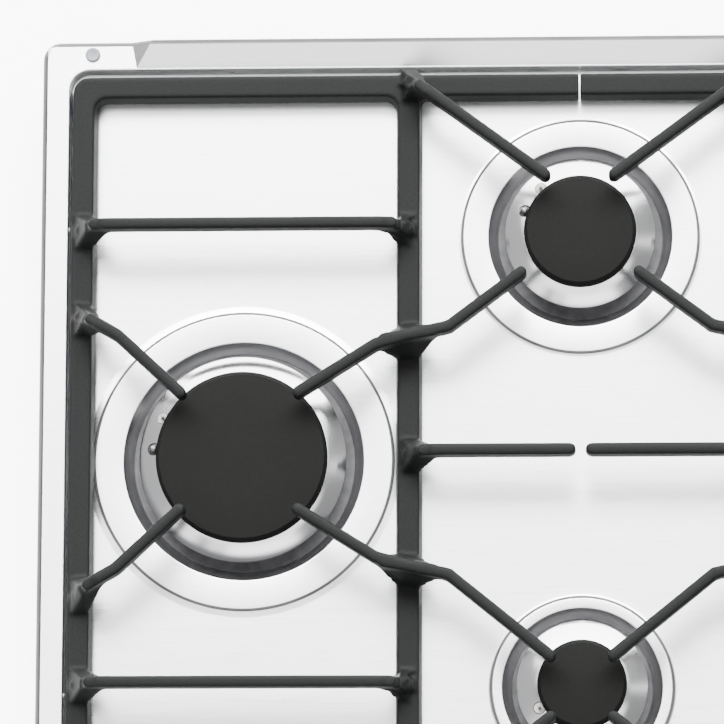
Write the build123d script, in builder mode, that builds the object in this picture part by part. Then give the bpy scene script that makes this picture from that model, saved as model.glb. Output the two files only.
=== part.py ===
from build123d import *
import os
from collections import namedtuple
from math import atan, copysign, cos, degrees, hypot, pi, radians, sin

os.makedirs("parts", exist_ok=True)

# A four-burner gas hob for a worktop cut-out, in millimetres. X runs along the hob,
# Y from its front to its rear and Z up. The origin is under the middle of the base box.

# ---- Driving dimensions: top plate ----
hob_length = 720.0
hob_width = 500.0
sheet = 1.0
corner_r = 10.5
edge_r = 2.8
side_rim = 16.2
front_rim = 17.6
recess_length = 600.6
recess_depth = 7.5
recess_corner_r = 11.7
recess_edge_r = 1.5
worktop_z = 46.0
skirt_lift = 0.5
rise_height = 7.0
rise_start = 55.5
rise_foot = 52.5
rise_head = 65.5
rise_edge_r = 2.0
plug_inset_x = 29.5
plug_inset_y = 8.0
plug_head_r = 4.4
plug_head_height = 1.4
plug_stem_r = 3.4

# ---- Driving dimensions: burners ----
burner_spread = 196.7
rear_burner_y = 132.3
front_burner_y = -133.0
plateau = 1.2
dish_depth = 8.0
dish_wall_run = 5.5
dish_edge_r = 1.4
cone_lip = 8.0
cone_rise = 5.5
cone_wall = 2.2
lip_wall = 1.8
collar_inset = 5.0
collar_wall = 3.0
collar_height = 4.5
cap_height = 4.7
cap_dome = 0.5
cap_edge_r = 2.2
cap_ring_depth = 3.4
cap_ring_wall = 2.0
skirt_inset = 3.0
flange_inset = 4.0
flange_wall = 3.0
cup_inset = 14.0
cup_wall = 3.0
cup_floor_z = 25.0
hole_gap = 2.0
venturi_r = 8.0
venturi_wall = 2.5
venturi_z = 46.5
port_r = 0.9
port_pitch = 6.0
pin_offset = 2.0
pin_hole_r = 3.7
ceramic_r = 3.1
ceramic_collar_r = 4.8
ceramic_foot_z = 22.0
tip_r = 1.0
tip_height = 3.2
sensor_r = 2.3
injector_r = 4.0
injector_height = 6.0
injector_bore_r = 0.6
screw_r = 2.0
screw_head_r = 3.4
screw_head_height = 2.2
screw_length = 9.0
screw_angles = (45, -45)

# ---- Driving dimensions: pan supports ----
bar_foot_width = 15.5
bar_top_width = 12.5
bar_height = 14.0
foot_height = 3.0
foot_r = 5.0
finger_height = 44.0
finger_depth = 13.0
finger_width = 6.6
leg_spread = 17.0
frame_gap_x = 1.3
frame_gap_y = 4.5
inner_bar = 100.0
seam_gap = 1.0
frame_outer_r = 11.0
frame_inner_r = 6.0
cross_finger_y = 133.5
lift_clearance = 0.3

# ---- Driving dimensions: gas train and controls ----
knob_pitch = 85.0
knob_r = 20.0
knob_top_r = 18.0
knob_lift = 5.0
knob_height = 22.5
knob_wall = 3.0
knob_hub_r = 7.0
knob_edge_r = 1.6
pointer_width = 1.6
pointer_depth = 0.8
spindle_r = 4.0
spindle_push = 4.0
flat_depth = 1.5
running_gap = 0.05
rail_size = 15.0
rail_wall = 1.5
rail_z = 18.0
rail_front = 165.0
rail_rear = 208.0
tap_width = 22.0
tap_depth = 26.0
tap_height = 20.5
pipe_z = 29.5
pipe_r = 4.0
pipe_wall = 1.0
inlet_r = 10.48
inlet_length = 14.0
inlet_neck = 1.5
inlet_neck_r = 9.4
inlet_bore_r = 7.0
inlet_hex = 24.0

# ---- Driving dimensions: base box and fixings ----
box_gap = 0.5
vent_length = 36.0
vent_width = 5.0
seal_width = 9.0
seal_inset = 1.5
clamp_width = 16.0
clamp_sheet = 1.5
clamp_reach = 11.0
clamp_foot_z = 10.0
clamp_head_z = 42.0
seat_gap = 0.3

# ---- Levels and edges that follow from the sizes above ----
hob_right = hob_length / 2
hob_rear = hob_width / 2
recess_left = -hob_right + side_rim
recess_right = recess_left + recess_length
recess_rear = hob_rear - front_rim
seam_x = (recess_left + recess_right) / 2
strip_x = (recess_right + hob_right) / 2
floor_z = worktop_z + sheet
rim_z = floor_z + recess_depth
skirt_z = worktop_z + skirt_lift
dish_z = floor_z - dish_depth
flange_z = dish_z + flange_wall
box_half_x = -recess_left + sheet + box_gap + sheet
box_half_y = recess_rear + sheet + box_gap + sheet
bar_z = floor_z + foot_height
bar_top_z = bar_z + bar_height
finger_z = floor_z + finger_height
finger_under_z = finger_z - finger_depth
outer_bar = recess_length / 2 - frame_gap_x - bar_foot_width / 2
end_bar = recess_rear - frame_gap_y - bar_foot_width / 2
box_top_z = rim_z - sheet
knob_rows = [knob_pitch * (row - 1.5) for row in range(4)]

# Screws through the walls of the box and the recess: where each stands, and which way its
# head faces.
box_screw_z = (worktop_z + box_top_z) / 2
box_screw_inset = 95.0
box_screw_x = [recess_left + box_screw_inset, seam_x, recess_right - box_screw_inset]
box_screw_y = [side * (recess_rear - box_screw_inset) for side in (-1, 1)]
box_screw_length = 2 * sheet + box_gap + seat_gap
wall_screws = [((x, side * box_half_y), (0, side)) for x in box_screw_x for side in (-1, 1)]
wall_screws += [((-box_half_x, y), (-1, 0)) for y in box_screw_y]

Burner = namedtuple("Burner", "name x y cap_r crown_r dish_r ring_r ring_run igniter sensor")
burners = [
    Burner("left", seam_x - burner_spread, 0, 50.0, 60.3, 70.2, 86.5, 5.2, 153, 174),
    Burner("front", seam_x, front_burner_y, 25.8, 37.8, 46.3, 51.7, 2.5, 208, 238),
    Burner("rear", seam_x, rear_burner_y, 32.8, 43.9, 53.8, 68.2, 3.0, 131, 158),
    Burner("right", seam_x + burner_spread, 0, 50.0, 60.3, 70.2, 86.5, 5.2, 153, 174),
]


def flange_r(burner):
    return burner.crown_r - flange_inset


def cup_r(burner):
    return flange_r(burner) - cup_inset


def pin_place(burner, angle):
    """Where a pin or a screw stands around a burner, just outside its cap."""
    reach = burner.cap_r + pin_offset
    return burner.x + reach * cos(radians(angle)), burner.y + reach * sin(radians(angle))


def radial_plane(burner):
    """The upright plane through a burner's axis: its X is the radius, its Y is height."""
    return Plane(origin=(burner.x, burner.y, 0), x_dir=(1, 0, 0), z_dir=(0, -1, 0))


def burner_axis(burner):
    return Axis((burner.x, burner.y, 0), (0, 0, 1))


def outward(place, way, z):
    """A plane on the box's wall that faces out of the box, with its X level."""
    return Plane(origin=(place[0], place[1], z), x_dir=(-way[1], way[0], 0), z_dir=(way[0], way[1], 0))


def save(part, name):
    part.label = name
    export_step(part, f"parts/{name}.step")


# ---- Top plate ----
# The raised rear rim is a slope between two slanted end facets.
def rear_rise(inset):
    slope = atan(rise_height / (front_rim - recess_edge_r))
    start_y = recess_rear + recess_edge_r
    rear_y = hob_rear - inset
    drop = inset / cos(slope)
    low_z = rim_z - edge_r - sheet
    rear_top = rim_z + rise_height * (rear_y - start_y) / (hob_rear - start_y) - drop
    with BuildPart() as wedge:
        with BuildSketch(Plane.YZ.offset(-hob_right)):
            Polygon(
                (start_y, low_z), (rear_y, low_z), (rear_y, rear_top), (start_y, rim_z - drop), align=None
            )
        extrude(amount=hob_length)
        for side in (-1, 1):
            apex = Vector(side * (hob_right - rise_start), start_y, rim_z)
            foot = Vector(side * (hob_right - rise_foot), hob_rear, rim_z)
            head = Vector(side * (hob_right - rise_head), hob_rear, rim_z + rise_height)
            normal = (foot - apex).cross(head - apex).normalized()
            if normal.X * side > 0:
                normal = -normal
            split(bisect_by=Plane(origin=apex + normal * inset, z_dir=normal), keep=Keep.TOP)
        if inset == 0:
            fillet(wedge.edges().filter_by(Axis.X).group_by(Axis.Z)[-1], rise_edge_r)
    return wedge.part


def sheet_section(top_line):
    """A bent sheet's outline: its top line, and the same line one sheet thickness below it."""
    normals = []
    for (r0, z0), (r1, z1) in zip(top_line, top_line[1:]):
        run = hypot(r1 - r0, z1 - z0)
        normals.append(((z0 - z1) / run, (r1 - r0) / run))
    under = []
    for point, before, after in zip(top_line, normals[:1] + normals, normals + normals[-1:]):
        reach = sheet / (1 + before[0] * after[0] + before[1] * after[1])
        under.append((point[0] + (before[0] + after[0]) * reach, point[1] + (before[1] + after[1]) * reach))
    return top_line + under[::-1]


# One burner's pressing in the floor: the embossed ring, the plateau and the dish.
def burner_pressing(burner):
    shoulder = dish_edge_r * 0.7
    top_line = [
        (burner.ring_r + burner.ring_run + dish_edge_r, floor_z),
        (burner.ring_r + burner.ring_run, floor_z),
        (burner.ring_r, floor_z + plateau),
        (burner.dish_r + shoulder, floor_z + plateau),
        (burner.dish_r - shoulder / 3, floor_z + plateau - shoulder),
        (burner.dish_r - dish_wall_run, dish_z),
        (cup_r(burner) + hole_gap, dish_z),
    ]
    with BuildPart() as pressing:
        with BuildSketch(radial_plane(burner)):
            Polygon(*sheet_section(top_line), align=None)
        revolve(axis=burner_axis(burner))
    return pressing.part


inner_rise = rear_rise(sheet)
outer_rise = rear_rise(0)
pressings = [burner_pressing(burner) for burner in burners]
recess_width = 2 * recess_rear

with BuildPart() as top_plate:
    with BuildSketch(Plane.XY.offset(skirt_z)):
        RectangleRounded(hob_length, hob_width, corner_r)
    extrude(amount=rim_z - skirt_z)
    fillet(top_plate.faces().sort_by(Axis.Z)[-1].edges(), edge_r)
    add(outer_rise)
    with BuildSketch(Plane.XY.offset(skirt_z)):
        RectangleRounded(hob_length - 2 * sheet, hob_width - 2 * sheet, corner_r - sheet)
    extrude(amount=rim_z - sheet - skirt_z, mode=Mode.SUBTRACT)
    add(inner_rise, mode=Mode.SUBTRACT)
    # The recess: its walls and floor, then its opening in the rim.
    with BuildSketch(Plane.XY.offset(worktop_z)):
        with Locations((seam_x, 0)):
            RectangleRounded(recess_length + 2 * sheet, recess_width + 2 * sheet, recess_corner_r + sheet)
    extrude(amount=recess_depth)
    with BuildSketch(Plane.XY.offset(floor_z)):
        with Locations((seam_x, 0)):
            RectangleRounded(recess_length, recess_width, recess_corner_r)
    extrude(amount=recess_depth, mode=Mode.SUBTRACT)
    # Burner pressings take the place of the floor around each burner.
    for burner, pressing in zip(burners, pressings):
        with BuildSketch(Plane.XY.offset(worktop_z)):
            with Locations((burner.x, burner.y)):
                Circle(burner.ring_r + burner.ring_run + dish_edge_r / 2)
        extrude(amount=sheet, mode=Mode.SUBTRACT)
        add(pressing)
        with BuildSketch(Plane.XY.offset(dish_z - sheet)):
            with Locations(*[pin_place(burner, angle) for angle in (burner.igniter, burner.sensor)]):
                Circle(pin_hole_r)
            with Locations(*[pin_place(burner, angle) for angle in screw_angles]):
                Circle(screw_r + running_gap)
        extrude(amount=sheet, mode=Mode.SUBTRACT)
    with Locations(*[(strip_x, row, rim_z) for row in knob_rows]):
        Hole(radius=spindle_r * 2, depth=sheet)
    with Locations(*[(s * (hob_right - plug_inset_x), hob_rear - plug_inset_y, rim_z) for s in (-1, 1)]):
        Hole(radius=plug_stem_r + running_gap, depth=sheet)
    for place, way in wall_screws:
        with BuildSketch(outward(place, way, box_screw_z)):
            Circle(screw_r + running_gap)
        extrude(amount=-box_screw_length, mode=Mode.SUBTRACT)
save(top_plate.part, "top_plate")

with BuildPart() as hinge_hole_plugs:
    for side in (-1, 1):
        plug_x = side * (hob_right - plug_inset_x)
        plug_y = hob_rear - plug_inset_y
        with BuildSketch(Plane.XY.offset(rim_z)):
            with Locations((plug_x, plug_y)):
                Circle(plug_head_r)
        extrude(amount=plug_head_height)
        with BuildSketch(Plane.XY.offset(rim_z - sheet)):
            with Locations((plug_x, plug_y)):
                Circle(plug_stem_r)
        extrude(amount=sheet)
    fillet(hinge_hole_plugs.edges().group_by(Axis.Z)[-1], plug_head_height * 0.6)
save(hinge_hole_plugs.part, "hinge_hole_plugs")

# ---- Burners ----
# The aluminium cup is screwed to the dish: a flange, a mixing cup and a gas arm to its middle.
arm_width = 12.0
arm_height = 10.0
boss_reach = 6.0
boss_r = 5.8
gas_bore_r = 2.0
injector_seat_r = 1.5


def burner_cup(burner):
    inner_r = cup_r(burner) - cup_wall
    arm_z = pipe_z - arm_height / 2
    with BuildPart() as cup:
        with BuildSketch(radial_plane(burner)):
            Polygon(
                (0, cup_floor_z),
                (cup_r(burner), cup_floor_z),
                (cup_r(burner), dish_z),
                (flange_r(burner), dish_z),
                (flange_r(burner), flange_z),
                (inner_r, flange_z),
                (inner_r, cup_floor_z + cup_wall),
                (0, cup_floor_z + cup_wall),
                align=None,
            )
        revolve(axis=burner_axis(burner))
        # The gas arm crosses from the wall to the middle, with a boss outside for the pipe.
        with BuildSketch(Plane.XY.offset(cup_floor_z)):
            with Locations((burner.x, burner.y)):
                Circle(arm_width / 2)
            with Locations((burner.x + (cup_r(burner) - cup_wall / 2) / 2, burner.y)):
                Rectangle(cup_r(burner) - cup_wall / 2, arm_width)
        extrude(amount=arm_z + arm_height - cup_floor_z)
        with BuildSketch(Plane.YZ.offset(burner.x + cup_r(burner) - cup_wall / 2)):
            with Locations((burner.y, pipe_z)):
                Circle(boss_r)
        extrude(amount=cup_wall / 2 + boss_reach)
        with BuildSketch(Plane.YZ.offset(burner.x - gas_bore_r)):
            with Locations((burner.y, pipe_z)):
                Circle(gas_bore_r)
        extrude(amount=gas_bore_r + cup_r(burner) + boss_reach, mode=Mode.SUBTRACT)
        with BuildSketch(Plane.YZ.offset(burner.x + cup_r(burner))):
            with Locations((burner.y, pipe_z)):
                Circle(pipe_r + running_gap)
        extrude(amount=boss_reach, mode=Mode.SUBTRACT)
        with BuildSketch(Plane.XY.offset(pipe_z)):
            with Locations((burner.x, burner.y)):
                Circle(injector_seat_r)
        extrude(amount=arm_height / 2, mode=Mode.SUBTRACT)
        with BuildSketch(Plane.XY.offset(dish_z)):
            with Locations(*[pin_place(burner, angle) for angle in (burner.igniter, burner.sensor)]):
                Circle(pin_hole_r)
            with Locations(*[pin_place(burner, angle) for angle in screw_angles]):
                Circle(screw_r + running_gap)
        extrude(amount=flange_wall, mode=Mode.SUBTRACT)
    return cup.part


# The crown spreads the flame: a flared cone, a ported collar and a central venturi.
def burner_crown(burner):
    foot_z = flange_z + seat_gap
    lip_z = floor_z + cone_lip
    cone_top_z = lip_z + cone_rise
    disc_top_z = cone_top_z - cone_wall
    disc_under_z = disc_top_z - cone_wall
    collar_r = burner.cap_r - collar_inset
    skirt_r = burner.cap_r - skirt_inset
    collar_top_z = disc_top_z + collar_height
    ports = round(collar_r * 2 * pi / port_pitch)
    with BuildPart() as crown:
        with BuildSketch(radial_plane(burner)):
            Polygon(
                (venturi_r, venturi_z),
                (venturi_r + venturi_wall, venturi_z),
                (venturi_r + venturi_wall, disc_under_z),
                (skirt_r - collar_wall, disc_under_z),
                (skirt_r - collar_wall, foot_z),
                (skirt_r, foot_z),
                (skirt_r, disc_under_z - cone_wall / 2),
                (burner.crown_r, lip_z - lip_wall),
                (burner.crown_r, lip_z),
                (burner.cap_r, cone_top_z),
                (burner.cap_r - cone_wall, cone_top_z),
                (burner.cap_r - cone_wall, disc_top_z),
                (collar_r, disc_top_z),
                (collar_r, collar_top_z),
                (collar_r - collar_wall, collar_top_z),
                (collar_r - collar_wall, disc_top_z),
                (venturi_r, disc_top_z),
                align=None,
            )
        revolve(axis=burner_axis(burner))
        with Locations(Location((burner.x, burner.y, disc_top_z + collar_height / 2))):
            with PolarLocations(collar_r, ports):
                Cylinder(port_r, collar_wall * 3, rotation=(0, 90, 0), mode=Mode.SUBTRACT)
        with BuildSketch(Plane.XY.offset(disc_under_z - cone_rise)):
            with Locations(*[pin_place(burner, angle) for angle in (burner.igniter, burner.sensor)]):
                Circle(pin_hole_r)
        extrude(amount=cone_top_z - disc_under_z + 2 * cone_rise, mode=Mode.SUBTRACT)
    return crown.part


# The enamelled cap lies on the collar and is centred by a ring inside it.
def burner_cap(burner):
    under_z = floor_z + cone_lip + cone_rise - cone_wall + collar_height + seat_gap
    top_z = under_z + cap_height
    ring_r = burner.cap_r - collar_inset - collar_wall - seat_gap
    with BuildPart() as cap:
        with BuildSketch(radial_plane(burner)) as section:
            with BuildLine():
                Polyline((0, under_z), (burner.cap_r, under_z), (burner.cap_r, top_z - cap_dome))
                Line((burner.cap_r, top_z - cap_dome), (0, top_z))
                Line((0, top_z), (0, under_z))
            make_face()
            fillet(section.vertices().group_by(Axis.X)[-1].sort_by(Axis.Y)[-1], cap_edge_r)
        revolve(axis=burner_axis(burner))
        with BuildSketch(Plane.XY.offset(under_z - cap_ring_depth)):
            with Locations((burner.x, burner.y)):
                Circle(ring_r)
                Circle(ring_r - cap_ring_wall, mode=Mode.SUBTRACT)
        extrude(amount=cap_ring_depth)
    return cap.part


for burner in burners:
    save(burner_cup(burner), f"{burner.name}_burner_cup")
    save(burner_crown(burner), f"{burner.name}_burner_crown")
    save(burner_cap(burner), f"{burner.name}_burner_cap")

# Screws through the cup's flange into the dish, hidden under the crown's cone.
with BuildPart() as burner_screws:
    for burner in burners:
        for angle in screw_angles:
            with BuildSketch(Plane.XY.offset(flange_z)):
                with Locations(pin_place(burner, angle)):
                    Circle(screw_head_r)
                    RegularPolygon(screw_r / 2, 4, mode=Mode.SUBTRACT)
            extrude(amount=screw_head_height)
            with BuildSketch(Plane.XY.offset(flange_z - screw_length)):
                with Locations(pin_place(burner, angle)):
                    Circle(screw_r)
            extrude(amount=screw_length)
save(burner_screws.part, "burner_screws")

# A pin reaches the cone's surface at its place and no higher than the cap's edge.
pin_z = floor_z + cone_lip + cone_rise * 0.8

with BuildPart() as igniter_ceramics:
    for burner in burners:
        place = pin_place(burner, burner.igniter)
        with BuildSketch(Plane.XY.offset(ceramic_foot_z)):
            with Locations(place):
                Circle(ceramic_r)
                Circle(tip_r, mode=Mode.SUBTRACT)
        extrude(amount=pin_z - ceramic_foot_z)
        with BuildSketch(Plane.XY.offset(flange_z)):
            with Locations(place):
                Circle(ceramic_collar_r)
                Circle(ceramic_r, mode=Mode.SUBTRACT)
        extrude(amount=ceramic_r / 2)
save(igniter_ceramics.part, "igniter_ceramics")

with BuildPart() as igniter_tips:
    for burner in burners:
        with BuildSketch(Plane.XY.offset(ceramic_foot_z)):
            with Locations(pin_place(burner, burner.igniter)):
                Circle(tip_r)
        extrude(amount=pin_z + tip_height - ceramic_foot_z)
    fillet(igniter_tips.edges().group_by(Axis.Z)[-1], tip_r * 0.6)
save(igniter_tips.part, "igniter_tips")

with BuildPart() as thermocouples:
    for burner in burners:
        place = pin_place(burner, burner.sensor)
        with BuildSketch(Plane.XY.offset(ceramic_foot_z)):
            with Locations(place):
                Circle(sensor_r)
        extrude(amount=pin_z + tip_height - ceramic_foot_z)
        with BuildSketch(Plane.XY.offset(flange_z)):
            with Locations(place):
                RegularPolygon(ceramic_collar_r, 6)
        extrude(amount=sensor_r)
    fillet(thermocouples.edges().group_by(Axis.Z)[-1], sensor_r * 0.7)
save(thermocouples.part, "thermocouples")

with BuildPart() as injectors:
    for burner in burners:
        with BuildSketch(Plane.XY.offset(pipe_z + arm_height / 2)):
            with Locations((burner.x, burner.y)):
                RegularPolygon(injector_r, 6)
                Circle(injector_bore_r, mode=Mode.SUBTRACT)
        extrude(amount=injector_height)
save(injectors.part, "injectors")

# ---- Pan supports ----
# A finger is an upright rib: its route in plan, with the height of its underside and its
# top at each point. Round posts join its runs and end its tip.
def finger(route):
    with BuildPart() as rib:
        for (x0, y0, low0, top0), (x1, y1, low1, top1) in zip(route, route[1:]):
            run = hypot(x1 - x0, y1 - y0)
            side = Plane(origin=(x0, y0, 0), x_dir=(x1 - x0, y1 - y0, 0), z_dir=(y1 - y0, x0 - x1, 0))
            with BuildSketch(side):
                Polygon((0, low0), (run, low1), (run, top1), (0, top0), align=None)
            extrude(amount=finger_width / 2, both=True)
        for x, y, low, top in route[1:]:
            with BuildSketch(Plane.XY.offset(low)):
                with Locations((x, y)):
                    Circle(finger_width / 2)
            extrude(amount=top - low)
    return rib.part


# Where a finger leaves a bar it stands in the bar and leans towards its burner.
def leg(x, y, toward_x, toward_y, lean):
    run = hypot(toward_x - x, toward_y - y)
    step_x, step_y = (toward_x - x) / run, (toward_y - y) / run
    root_z = bar_z + bar_height / 3
    return [
        (x - step_x * bar_top_width * 0.45, y - step_y * bar_top_width * 0.45, root_z, bar_top_z),
        (x, y, root_z, bar_top_z + finger_depth * 0.55),
        (x + step_x * lean, y + step_y * lean, finger_under_z - finger_depth * 0.6, finger_z - 1.5),
        (x + step_x * lean * 1.9, y + step_y * lean * 1.9, finger_under_z, finger_z),
    ]


def leg_flare(route):
    """The foot that spreads a leg along its bar, narrowing into the finger above."""
    (x, y, root_z, _), (head_x, head_y, _, _) = route[1:3]
    way = copysign(1, head_x - x)
    along = (way * (head_x - x), way * (head_y - y), 0)
    with BuildPart() as flare:
        with BuildSketch(Plane.XY.offset(root_z)):
            with Locations((x, y)):
                Rectangle(bar_top_width * 0.8, leg_spread)
        with BuildSketch(Plane(origin=(head_x, head_y, finger_under_z), x_dir=along)):
            Rectangle(leg_lean, finger_width * 0.9)
        loft()
    return flare.part


def level(x, y):
    """A point of a finger at its full height."""
    return (x, y, finger_under_z, finger_z)


tip_reach = 34.0
bend_run = 24.0
bend_drop = 14.0
crossing_run = 18.0
crossing_slant = 5.0
web_half = 15.0
crossing_y = 67.0
leg_lean = 9.0
side_finger_y = 82.0
middle_tip = 6.0
near_tip_x = {-1: 18.0, 1: 34.0}
near_tip_y = {-1: 14.0, 1: 28.8}
far_tip_x = {-1: 18.0, 1: 20.0}
far_tip_y = {-1: 21.0, 1: 28.8}


def at(reach):
    """A place along X, from its distance to the right of the seam."""
    return seam_x + reach


def finger_routes():
    """The routes of the fingers with legs and of the others, on the right of the seam."""
    legged = [leg(at(inner_bar), 0, at(0), 0, leg_lean) + [level(at(middle_tip), 0)]]
    legless = []
    large_x = burner_spread
    for end, small_y in ((-1, front_burner_y), (1, rear_burner_y)):
        # The finger that spans the frame beside the large burner has a leg at each bar.
        span_y = end * cross_finger_y
        middle = level(at((outer_bar + inner_bar) / 2), span_y)
        legged.append(leg(at(outer_bar), span_y, at(inner_bar), span_y, leg_lean) + [middle])
        legged.append(leg(at(inner_bar), span_y, at(outer_bar), span_y, leg_lean) + [middle])
        # The large burner's finger on the outer bar.
        tip_y = end * tip_reach
        bend = (at(outer_bar - bend_run), end * (side_finger_y - bend_drop))
        legged.append(
            leg(at(outer_bar), end * side_finger_y, *bend, leg_lean)
            + [level(*bend), level(at(large_x + tip_reach), tip_y)]
        )
        # The member that crosses the inner bar, from the large burner to a small one.
        cross = level(at(inner_bar), end * crossing_y)
        large_side = level(at(inner_bar + crossing_run), end * (crossing_y - crossing_slant))
        small_side = level(at(inner_bar - bend_run), end * (crossing_y + crossing_slant))
        near_tip = level(at(near_tip_x[end]), small_y - end * near_tip_y[end])
        legless.append([cross, large_side, level(at(large_x - tip_reach), tip_y)])
        legless.append([cross, small_side, near_tip])
        legless.append([
            (at(inner_bar + web_half), end * (crossing_y - crossing_slant / 2), finger_under_z, finger_z),
            (at(inner_bar), end * crossing_y, bar_z + bar_height / 3, finger_z),
            (at(inner_bar - web_half), end * (crossing_y + crossing_slant / 2), finger_under_z, finger_z),
        ])
        # The corner finger reaches over the end bar to the far side of the small burner.
        far_tip = (at(far_tip_x[end]), small_y + end * far_tip_y[end])
        legged.append(
            leg(at(inner_bar), end * end_bar, *far_tip, leg_lean) + [level(*far_tip)]
        )
    return legged, legless


def pan_support():
    """The support on the right of the seam."""
    with BuildPart() as support:
        # The drafted frame round the large burner, and the stub bars that reach the seam.
        bar_draft = degrees(atan((bar_foot_width - bar_top_width) / 2 / bar_height))
        span_x, span_y = outer_bar - inner_bar, 2 * end_bar
        with BuildSketch(Plane.XY.offset(bar_z)):
            with Locations((at(inner_bar + span_x / 2), 0)):
                RectangleRounded(span_x + bar_foot_width, span_y + bar_foot_width, frame_outer_r)
                inner_size = (span_x - bar_foot_width, span_y - bar_foot_width)
                RectangleRounded(*inner_size, frame_inner_r, mode=Mode.SUBTRACT)
        extrude(amount=bar_height, taper=bar_draft)
        stub = inner_bar - seam_gap / 2
        for end in (-1, 1):
            with BuildSketch(Plane.YZ.offset(at(inner_bar))):
                with Locations((end * end_bar, bar_z)):
                    Polygon(
                        (-bar_foot_width / 2, 0),
                        (bar_foot_width / 2, 0),
                        (bar_top_width / 2, bar_height),
                        (-bar_top_width / 2, bar_height),
                        align=None,
                    )
            extrude(amount=-stub)
        legged, legless = finger_routes()
        for route in legged + legless:
            add(finger(route))
        for route in legged:
            add(leg_flare(route))
    return support.part


def support_feet():
    places = [
        (at(x), end * end_bar)
        for x in (outer_bar - frame_outer_r, inner_bar - bar_foot_width * 5)
        for end in (-1, 1)
    ]
    with BuildPart() as feet:
        with BuildSketch(Plane.XY.offset(floor_z + lift_clearance)):
            with Locations(*places):
                Circle(foot_r)
        extrude(amount=foot_height - lift_clearance)
    return feet.part


seam = Plane.YZ.offset(seam_x)
right_support = pan_support()
right_feet = support_feet()
save(mirror(right_support, about=seam), "left_pan_support")
save(mirror(right_feet, about=seam), "left_support_feet")
save(right_support, "right_pan_support")
save(right_feet, "right_support_feet")

# ---- Gas train ----
# A closed square rail under the control strip carries the four taps.
rail_bottom_z = rail_z - rail_size / 2
rail_top_z = rail_z + rail_size / 2
tap_top_z = rail_top_z + tap_height
hex_length = 16.0
hex_start = box_half_y - sheet - hex_length

with BuildPart() as gas_rail:
    with BuildSketch(Plane.XZ.offset(rail_front)):
        with Locations((strip_x, rail_z)):
            Rectangle(rail_size, rail_size)
    extrude(amount=-(rail_front + hex_start))
    with BuildSketch(Plane.XZ.offset(rail_front - rail_wall)):
        with Locations((strip_x, rail_z)):
            Rectangle(rail_size - 2 * rail_wall, rail_size - 2 * rail_wall)
    extrude(amount=-(rail_front - rail_wall + hex_start), mode=Mode.SUBTRACT)
    with Locations(*[(strip_x, row, rail_top_z) for row in knob_rows]):
        Hole(radius=gas_bore_r, depth=rail_wall)
save(gas_rail.part, "gas_rail")

# The inlet's hexagon closes the rail's rear end, and its stub leaves the box: a neck in the
# box's hole, then the threaded end.
with BuildPart() as gas_inlet:
    with BuildSketch(Plane.XZ.offset(-hex_start)):
        with Locations((strip_x, rail_z)):
            RegularPolygon(inlet_hex / 2, 6, major_radius=False)
    extrude(amount=-hex_length)
    with BuildSketch(Plane.XZ.offset(-(hex_start + hex_length))):
        with Locations((strip_x, rail_z)):
            Circle(inlet_neck_r)
    extrude(amount=-(sheet + inlet_neck))
    with BuildSketch(Plane.XZ.offset(-(box_half_y + inlet_neck))):
        with Locations((strip_x, rail_z)):
            Circle(inlet_r)
    extrude(amount=-(inlet_length - inlet_neck))
    with BuildSketch(Plane.XZ.offset(-hex_start)):
        with Locations((strip_x, rail_z)):
            Circle(rail_size / 2 - rail_wall)
    extrude(amount=-hex_length, mode=Mode.SUBTRACT)
    with BuildSketch(Plane.XZ.offset(-(hex_start + hex_length / 2))):
        with Locations((strip_x, rail_z)):
            Circle(inlet_bore_r)
    extrude(amount=-(hex_length / 2 + sheet + inlet_length), mode=Mode.SUBTRACT)
save(gas_inlet.part, "gas_inlet")

# Saddle brackets hold the rail down on the box floor.
bracket_rows = (knob_rows[0] + knob_pitch / 3, knob_rows[-1] + knob_pitch / 3)
bracket_depth = 12.0
bracket_foot = 9.0

with BuildPart() as rail_brackets:
    for row in bracket_rows:
        with BuildSketch(Plane.XZ.offset(-(row - bracket_depth / 2))):
            with Locations((strip_x, (sheet + rail_top_z + sheet) / 2)):
                Rectangle(rail_size + 2 * sheet, rail_top_z)
            with Locations((strip_x, sheet * 1.5)):
                Rectangle(rail_size + 2 * bracket_foot, sheet)
            with Locations((strip_x, (sheet + rail_top_z) / 2)):
                Rectangle(rail_size, rail_top_z - sheet, mode=Mode.SUBTRACT)
            with Locations((strip_x, (sheet + rail_bottom_z) / 2)):
                Rectangle(rail_size, rail_bottom_z - sheet)
        extrude(amount=-bracket_depth)
save(rail_brackets.part, "rail_brackets")

# ---- Taps ----
plug_r = 6.4
plug_foot_z = rail_top_z + 2.0
plug_top_z = tap_top_z - 4.0
spring_gauge = 1.3
spindle_foot_z = tap_top_z + spindle_push / 8
slot_width = 2.2
slot_depth = 8.5
tongue_drop = 4.0
cover_wall = 1.5
neck_r = 8.5
neck_height = 5.5
collar_thick = 1.5
collar_z = tap_top_z + cover_wall + neck_height - cover_wall - seat_gap - collar_thick
magnet_r = 6.5
magnet_length = 15.0
magnet_z = rail_top_z + magnet_r + seat_gap
tap_screw_r = 1.5
tap_screw_x = tap_width / 2 - 3.0
tap_screw_y = tap_depth / 2 - 3.0

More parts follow.
